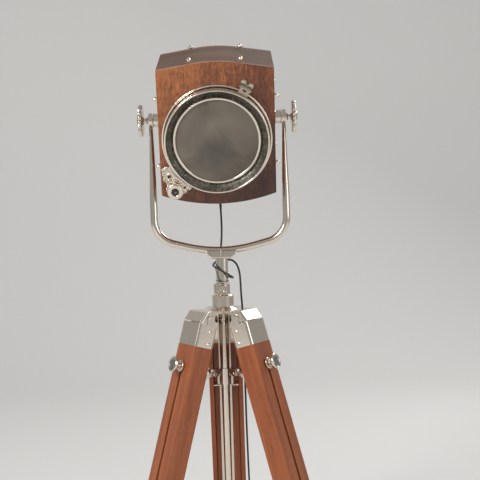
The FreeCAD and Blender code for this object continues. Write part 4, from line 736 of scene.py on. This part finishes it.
def soft_outline(corners):
    """The outline through (radius, height, rounding) corners, in millimetres."""
    out = []
    for i, (r, h, soft) in enumerate(corners):
        p = Vector((r, h))
        if not soft:
            out.append(p)
            continue
        before, after = Vector(corners[i - 1][:2]), Vector(corners[(i + 1) % len(corners)][:2])
        start, end = p + (before - p).normalized() * soft, p + (after - p).normalized() * soft
        for k in range(ROUNDING_STEPS + 1):
            t = k / ROUNDING_STEPS
            out.append(start.lerp(p, t).lerp(p.lerp(end, t), t))
    return out


def lathe(name, corners, place, steps, reshape=None, zone=None):
    """Turn an outline about the place's Z axis. reshape moves the points, for
    flutes, and faces inside zone (radii and heights) take a second material."""
    outline = soft_outline(corners)
    bm = bmesh.new()
    verts = [bm.verts.new((p.x * MM, 0, p.y * MM)) for p in outline]
    pairs = list(zip(verts, verts[1:]))
    if outline[0].x > 0:
        pairs.append((verts[-1], verts[0]))
    edges = [bm.edges.new(pair) for pair in pairs]
    bmesh.ops.spin(bm, geom=verts + edges, cent=(0, 0, 0), axis=(0, 0, 1), angle=math.tau, steps=steps,
                   use_merge=True)
    bmesh.ops.remove_doubles(bm, verts=bm.verts, dist=1e-6)
    if zone:
        for face in bm.faces:
            at = face.calc_center_median() / MM
            reach = math.hypot(at.x, at.y)
            face.material_index = int(zone[0] < reach < zone[1] and zone[2] < at.z < zone[3])
    if reshape:
        for vert in bm.verts:
            vert.co = reshape(vert.co)
    bmesh.ops.transform(bm, matrix=place, verts=bm.verts)
    return finish_mesh(name, bm)


def notches(radius, depth, count, band):
    """Round notches in a rim, which fade out over a band inside it."""
    def reshape(p):
        reach = math.hypot(p.x, p.y) / MM
        near = min(max((reach - radius + band) / band, 0.0), 1.0)
        wave = 0.5 + 0.5 * math.cos(count * math.atan2(p.y, p.x))
        shrink = 1 - depth * near * wave ** 2 / max(reach, 1e-6)
        return Vector((p.x * shrink, p.y * shrink, p.z))
    return reshape


def stands_for(piece, node, *materials):
    """Put a piece in a node's place, on its body and in its slot."""
    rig.ride(piece, BODY_OF[node])
    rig.replaces(piece, node)
    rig.slot(piece, SLOT_OF[node])
    for material in materials:
        piece.data.materials.append(material)


def beside_lens(angle, radius):
    """A place on the front board: X outwards, Y along the rim and Z forwards."""
    return FRONT @ turn(angle, "Z") @ Matrix.Translation((radius * MM, 0, 0))


def down_leg(angle):
    """A leg's frame: X outwards, -Z down the leg, the pivot at its origin."""
    at = Matrix.Translation((0, TUBE_Y, 0)) @ turn(angle, "Z")
    return at @ Matrix.Translation(LEG_PIVOT) @ turn(-SPLAY, "Y")


def add_door():
    """The hoop, the rings and the domed glass of the lens door."""
    hoop = [(51, 2.8, 0), (64.2, 2.8, 0), (64.2, 0.5, 0.3), (66.4, 0.5, 0.4), (66.4, 8.2, 0.2),
            (65.7, 8.9, 0.2), (65.7, 9.7, 0.2), (66.4, 10.4, 0.2), (66.4, 16.8, 1.4), (64.2, 16.8, 0.7),
            (63.9, 15.0, 0.4), (60.5, 10.2, 1.5), (56.8, 6.6, 0.9), (55.25, 6.0, 0.2), (51, 4.4, 0)]
    # the dish zone takes the dark dish finish, a painted reflection with tarnish
    stands_for(lathe("door_hoop", hoop, FRONT, 160, zone=(55.2, 64.0, 4.4, 15.4)), "bezel", NICKEL, DISH)
    base = [(67.4, 0, 0), (70.0, 0, 0), (70.0, 2.5, 1.0), (67.4, 2.5, 1.0)]
    stands_for(lathe("door_base_ring", base, FRONT, 160), "base_ring", NICKEL)
    clamp = [(54.05, 4.4, 0), (55.2, 4.4, 0), (55.2, 9.6, 0.9), (52.0, 9.6, 1.2), (52.0, 7.45, 0.2),
             (54.05, 7.45, 0)]
    stands_for(lathe("lens_clamp_ring", clamp, FRONT, 160), "retaining_ring", NICKEL)
    flat, rise, low, thick, steps = 51.4, 7.0, 4.4, 3.0, 28
    bulge = (flat ** 2 + rise ** 2) / (2 * rise)
    dome = [flat * k / steps for k in range(steps + 1)]
    height = [low + thick + rise - bulge + math.sqrt(bulge ** 2 - r ** 2) for r in dome]
    inner = [(r, h - thick, 0) for r, h in zip(dome, height) if r < flat - 2]
    outer = [(r, h, 0) for r, h in zip(dome, height)]
    glass = inner + [(flat - 2, low, 0), (54.0, low, 0), (54.0, low + thick, 0.3)] + outer[::-1]
    stands_for(lathe("lens_glass", glass, FRONT, 160), "lens", FROSTED)


def add_hand_wheels():
    """The dished, scalloped wheels of the tilt pivots, on their shafts."""
    start, face, at, shaft, rim = 66.5, 89.8, 98.8, 3.25, 21.0
    wheel = [(0, start, 0), (shaft, start, 0.4), (shaft, face, 0), (5.45, face, 0.3), (5.45, face + 1.4, 0.4),
             (shaft, face + 2.6, 0.6), (3.85, at - 2.5, 0.8), (7.5, at, 1.2), (rim - 4, at - 1.0, 1.0),
             (rim - 0.8, at - 1.6, 0.5), (rim, at, 0.6), (rim, at + 2.8, 1.0), (rim - 1.2, at + 4, 0.6),
             (rim - 4, at + 3.4, 1.2), (8.5, at + 4.6, 0.8), (7.0, at + 6, 1.0), (0, at + 6, 0)]
    scallops = notches(rim, 1.5, 20, 3.0)
    for side, outwards in (("left", -90), ("right", 90)):
        piece = lathe("hand_wheel_" + side, wheel, HEAD @ turn(outwards, "Y"), 160, scallops)
        stands_for(piece, "tilt_knob_" + side, NICKEL)


def add_catch_knob():
    """The knurled thumb knob with its sunk centre, whose walls take the dark dish finish as painted shade."""
    d, r = 5.6, 10.4
    knob = [(0, 0.8, 0), (2.0, 0.8, 0.3), (2.0, d, 0), (6.5, d, 0.4), (6.0, d + 2.5, 0.8),
            (r - 1, d + 4, 0.5), (r, d + 5, 0.6), (r, d + 8.6, 1.0), (r - 1.4, d + 9.4, 0.6),
            (5.6, d + 9.8, 0.4), (4.9, d + 9.4, 0.4), (4.4, d + 6.0, 0.3), (2.4, d + 6.0, 0.2),
            (2.2, d + 8.0, 0.4), (0.9, d + 8.0, 0.3), (0, d + 6.6, 0)]
    # the walls of the sunk centre take the dark dish finish: painted shade
    piece = lathe("catch_thumb_knob", knob, beside_lens(CATCH_ANGLE, CATCH_AT), 168, notches(r, 0.5, 28, 1.6),
                  zone=(-1, 4.75, d + 5.5, d + 9.2))
    stands_for(piece, "catch_knob", NICKEL, DISH)


def melted(node, voxel):
    """A bmesh of a node's shape with every edge softened, as a casting has."""
    cast = bpy.data.objects.new("cast", NODES[node].data.copy())
    bpy.context.scene.collection.objects.link(cast)
    melt = cast.modifiers.new("melt", "REMESH")
    melt.mode, melt.voxel_size = "VOXEL", voxel
    ease = cast.modifiers.new("ease", "SMOOTH")
    ease.iterations, ease.factor = 3, 0.5
    bpy.context.view_layer.update()
    mesh = bpy.data.meshes.new_from_object(cast.evaluated_get(bpy.context.evaluated_depsgraph_get()))
    bpy.data.objects.remove(cast)
    bm = bmesh.new()
    bm.from_mesh(mesh)
    bpy.data.meshes.remove(mesh)
    return bm


def add_catch_plate():
    """The cast plate of the catch, with ridges that scroll round its lobes."""
    scrolls = [(-10.0, -18.0), (-12.6, -27.0), (-3.0, -20.0), (-11.0, 9.0), (-13.0, -8.0)]
    relief, pitch, back_face, knob_seat = 0.30, 3.4, 1.6, 9.5
    place = beside_lens(CATCH_ANGLE, CATCH_AT)
    back = place.inverted()
    bm = melted("catch_bracket", voxel=0.00032)
    for vert in bm.verts:
        p = back @ vert.co / MM
        if p.z > back_face and math.hypot(p.x, p.y) > knob_seat:
            reach = min(math.hypot(p.x - x, p.y - y) for x, y in scrolls)
            p.z += relief * math.sin(math.tau * reach / pitch)
        vert.co = place @ (p * MM)
    stands_for(finish_mesh("catch_scroll_plate", bm, 50), "catch_bracket", NICKEL)


def add_leg_knobs():
    """The dished clamp knobs with their flanged collars, on the studs."""
    face, r, neck = 13.7, 10.4, 8.0
    top = neck + 6.5
    knob = [(0, -14.0, 0), (2.0, -14.0, 0.3), (2.0, 0, 0), (6.8, 0, 0), (7.6, 0.8, 0.5), (7.6, 2.4, 0.5),
            (6.8, 3.2, 0.3), (3.6, 3.6, 0.5), (3.2, neck + 1.5, 0.6), (r - 1, neck + 2.2, 0.6),
            (r, neck + 3.2, 0.7), (r, top - 0.8, 0.9), (r - 1.4, top, 0.6), (r - 2.2, top - 0.5, 0.4),
            (r * 0.6, top - 1.7, 1.5), (0, top - 2.0, 0)]
    for side, angle in LEG_ANGLES.items():
        place = down_leg(angle) @ Matrix.Translation((face * MM, 0, -CLAMP_KNOB_DOWN)) @ turn(90, "Y")
        piece = lathe("clamp_knob_" + side, knob, place, 96, zone=(-1, r - 2.1, top - 2.2, top))
        stands_for(piece, "leg_knob_" + side, NICKEL, DARK_FACE)


add_door()
add_hand_wheels()
add_catch_knob()
add_catch_plate()
add_leg_knobs()


# The studio: a pale sweep, a soft key from the left, a weak fill and a rim light.

def add_sweep():
    """A pale floor that curves up into the background."""
    half, front, rear, bend, top, steps = 4, -4, 1.4, 0.9, 4.0, 12
    profile = [(front, 0), (rear, 0)]
    for i in range(1, steps + 1):
        a = math.radians(90 * i / steps)
        profile.append((rear + bend * math.sin(a), bend * (1 - math.cos(a))))
    profile.append((rear + bend, top))
    bm = bmesh.new()
    verts = [bm.verts.new((-half, y, z)) for y, z in profile]
    edges = [bm.edges.new(pair) for pair in zip(verts, verts[1:])]
    made = bmesh.ops.extrude_edge_only(bm, edges=edges)["geom"]
    far = [v for v in made if isinstance(v, bmesh.types.BMVert)]
    bmesh.ops.translate(bm, vec=(2 * half, 0, 0), verts=far)
    sweep_piece = finish_mesh("studio_sweep", bm, 60)
    pale = (0.78, 0.77, 0.75)
    f = Finish("pale_sweep", pale, 0.9)
    f.set("Base Color", f.mix(f.noise(f.place, 2.0), pale, (0.80, 0.79, 0.775)))
    sweep_piece.data.materials.append(f.material)
    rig.stage(sweep_piece)


def add_lamp(name, at, aim, size, power):
    """A square soft light that faces a point of the lamp."""
    data = bpy.data.lights.new(name, "AREA")
    data.size, data.energy = size, power
    light = bpy.data.objects.new(name, data)
    facing = (Vector(aim) - Vector(at)).to_track_quat("-Z", "Y").to_matrix().to_4x4()
    light.matrix_world = Matrix.Translation(at) @ facing
    bpy.context.scene.collection.objects.link(light)


add_sweep()
add_lamp("key", (-1.5, -1.7, 1.7), (0, 0, 0.45), 0.9, 42)
add_lamp("fill", (1.9, -1.4, 1.0), (0, 0, 0.4), 1.4, 12)
add_lamp("rim", (0.9, 1.1, 1.5), (0, 0, 0.5), 0.8, 12)

world = bpy.data.worlds.new("studio")
world.use_nodes = True
backlight = world.node_tree.nodes["Background"].inputs
backlight["Color"].default_value = (0.62, 0.62, 0.62, 1)
backlight["Strength"].default_value = 0.55
bpy.context.scene.world = world
bpy.context.scene.view_settings.view_transform = "Standard"

NEW_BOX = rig.bounds()
with open("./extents.json", "w") as out:
    json.dump({"cad": [list(corner) for corner in CAD_BOX], "visual": [list(corner) for corner in NEW_BOX]}, out)
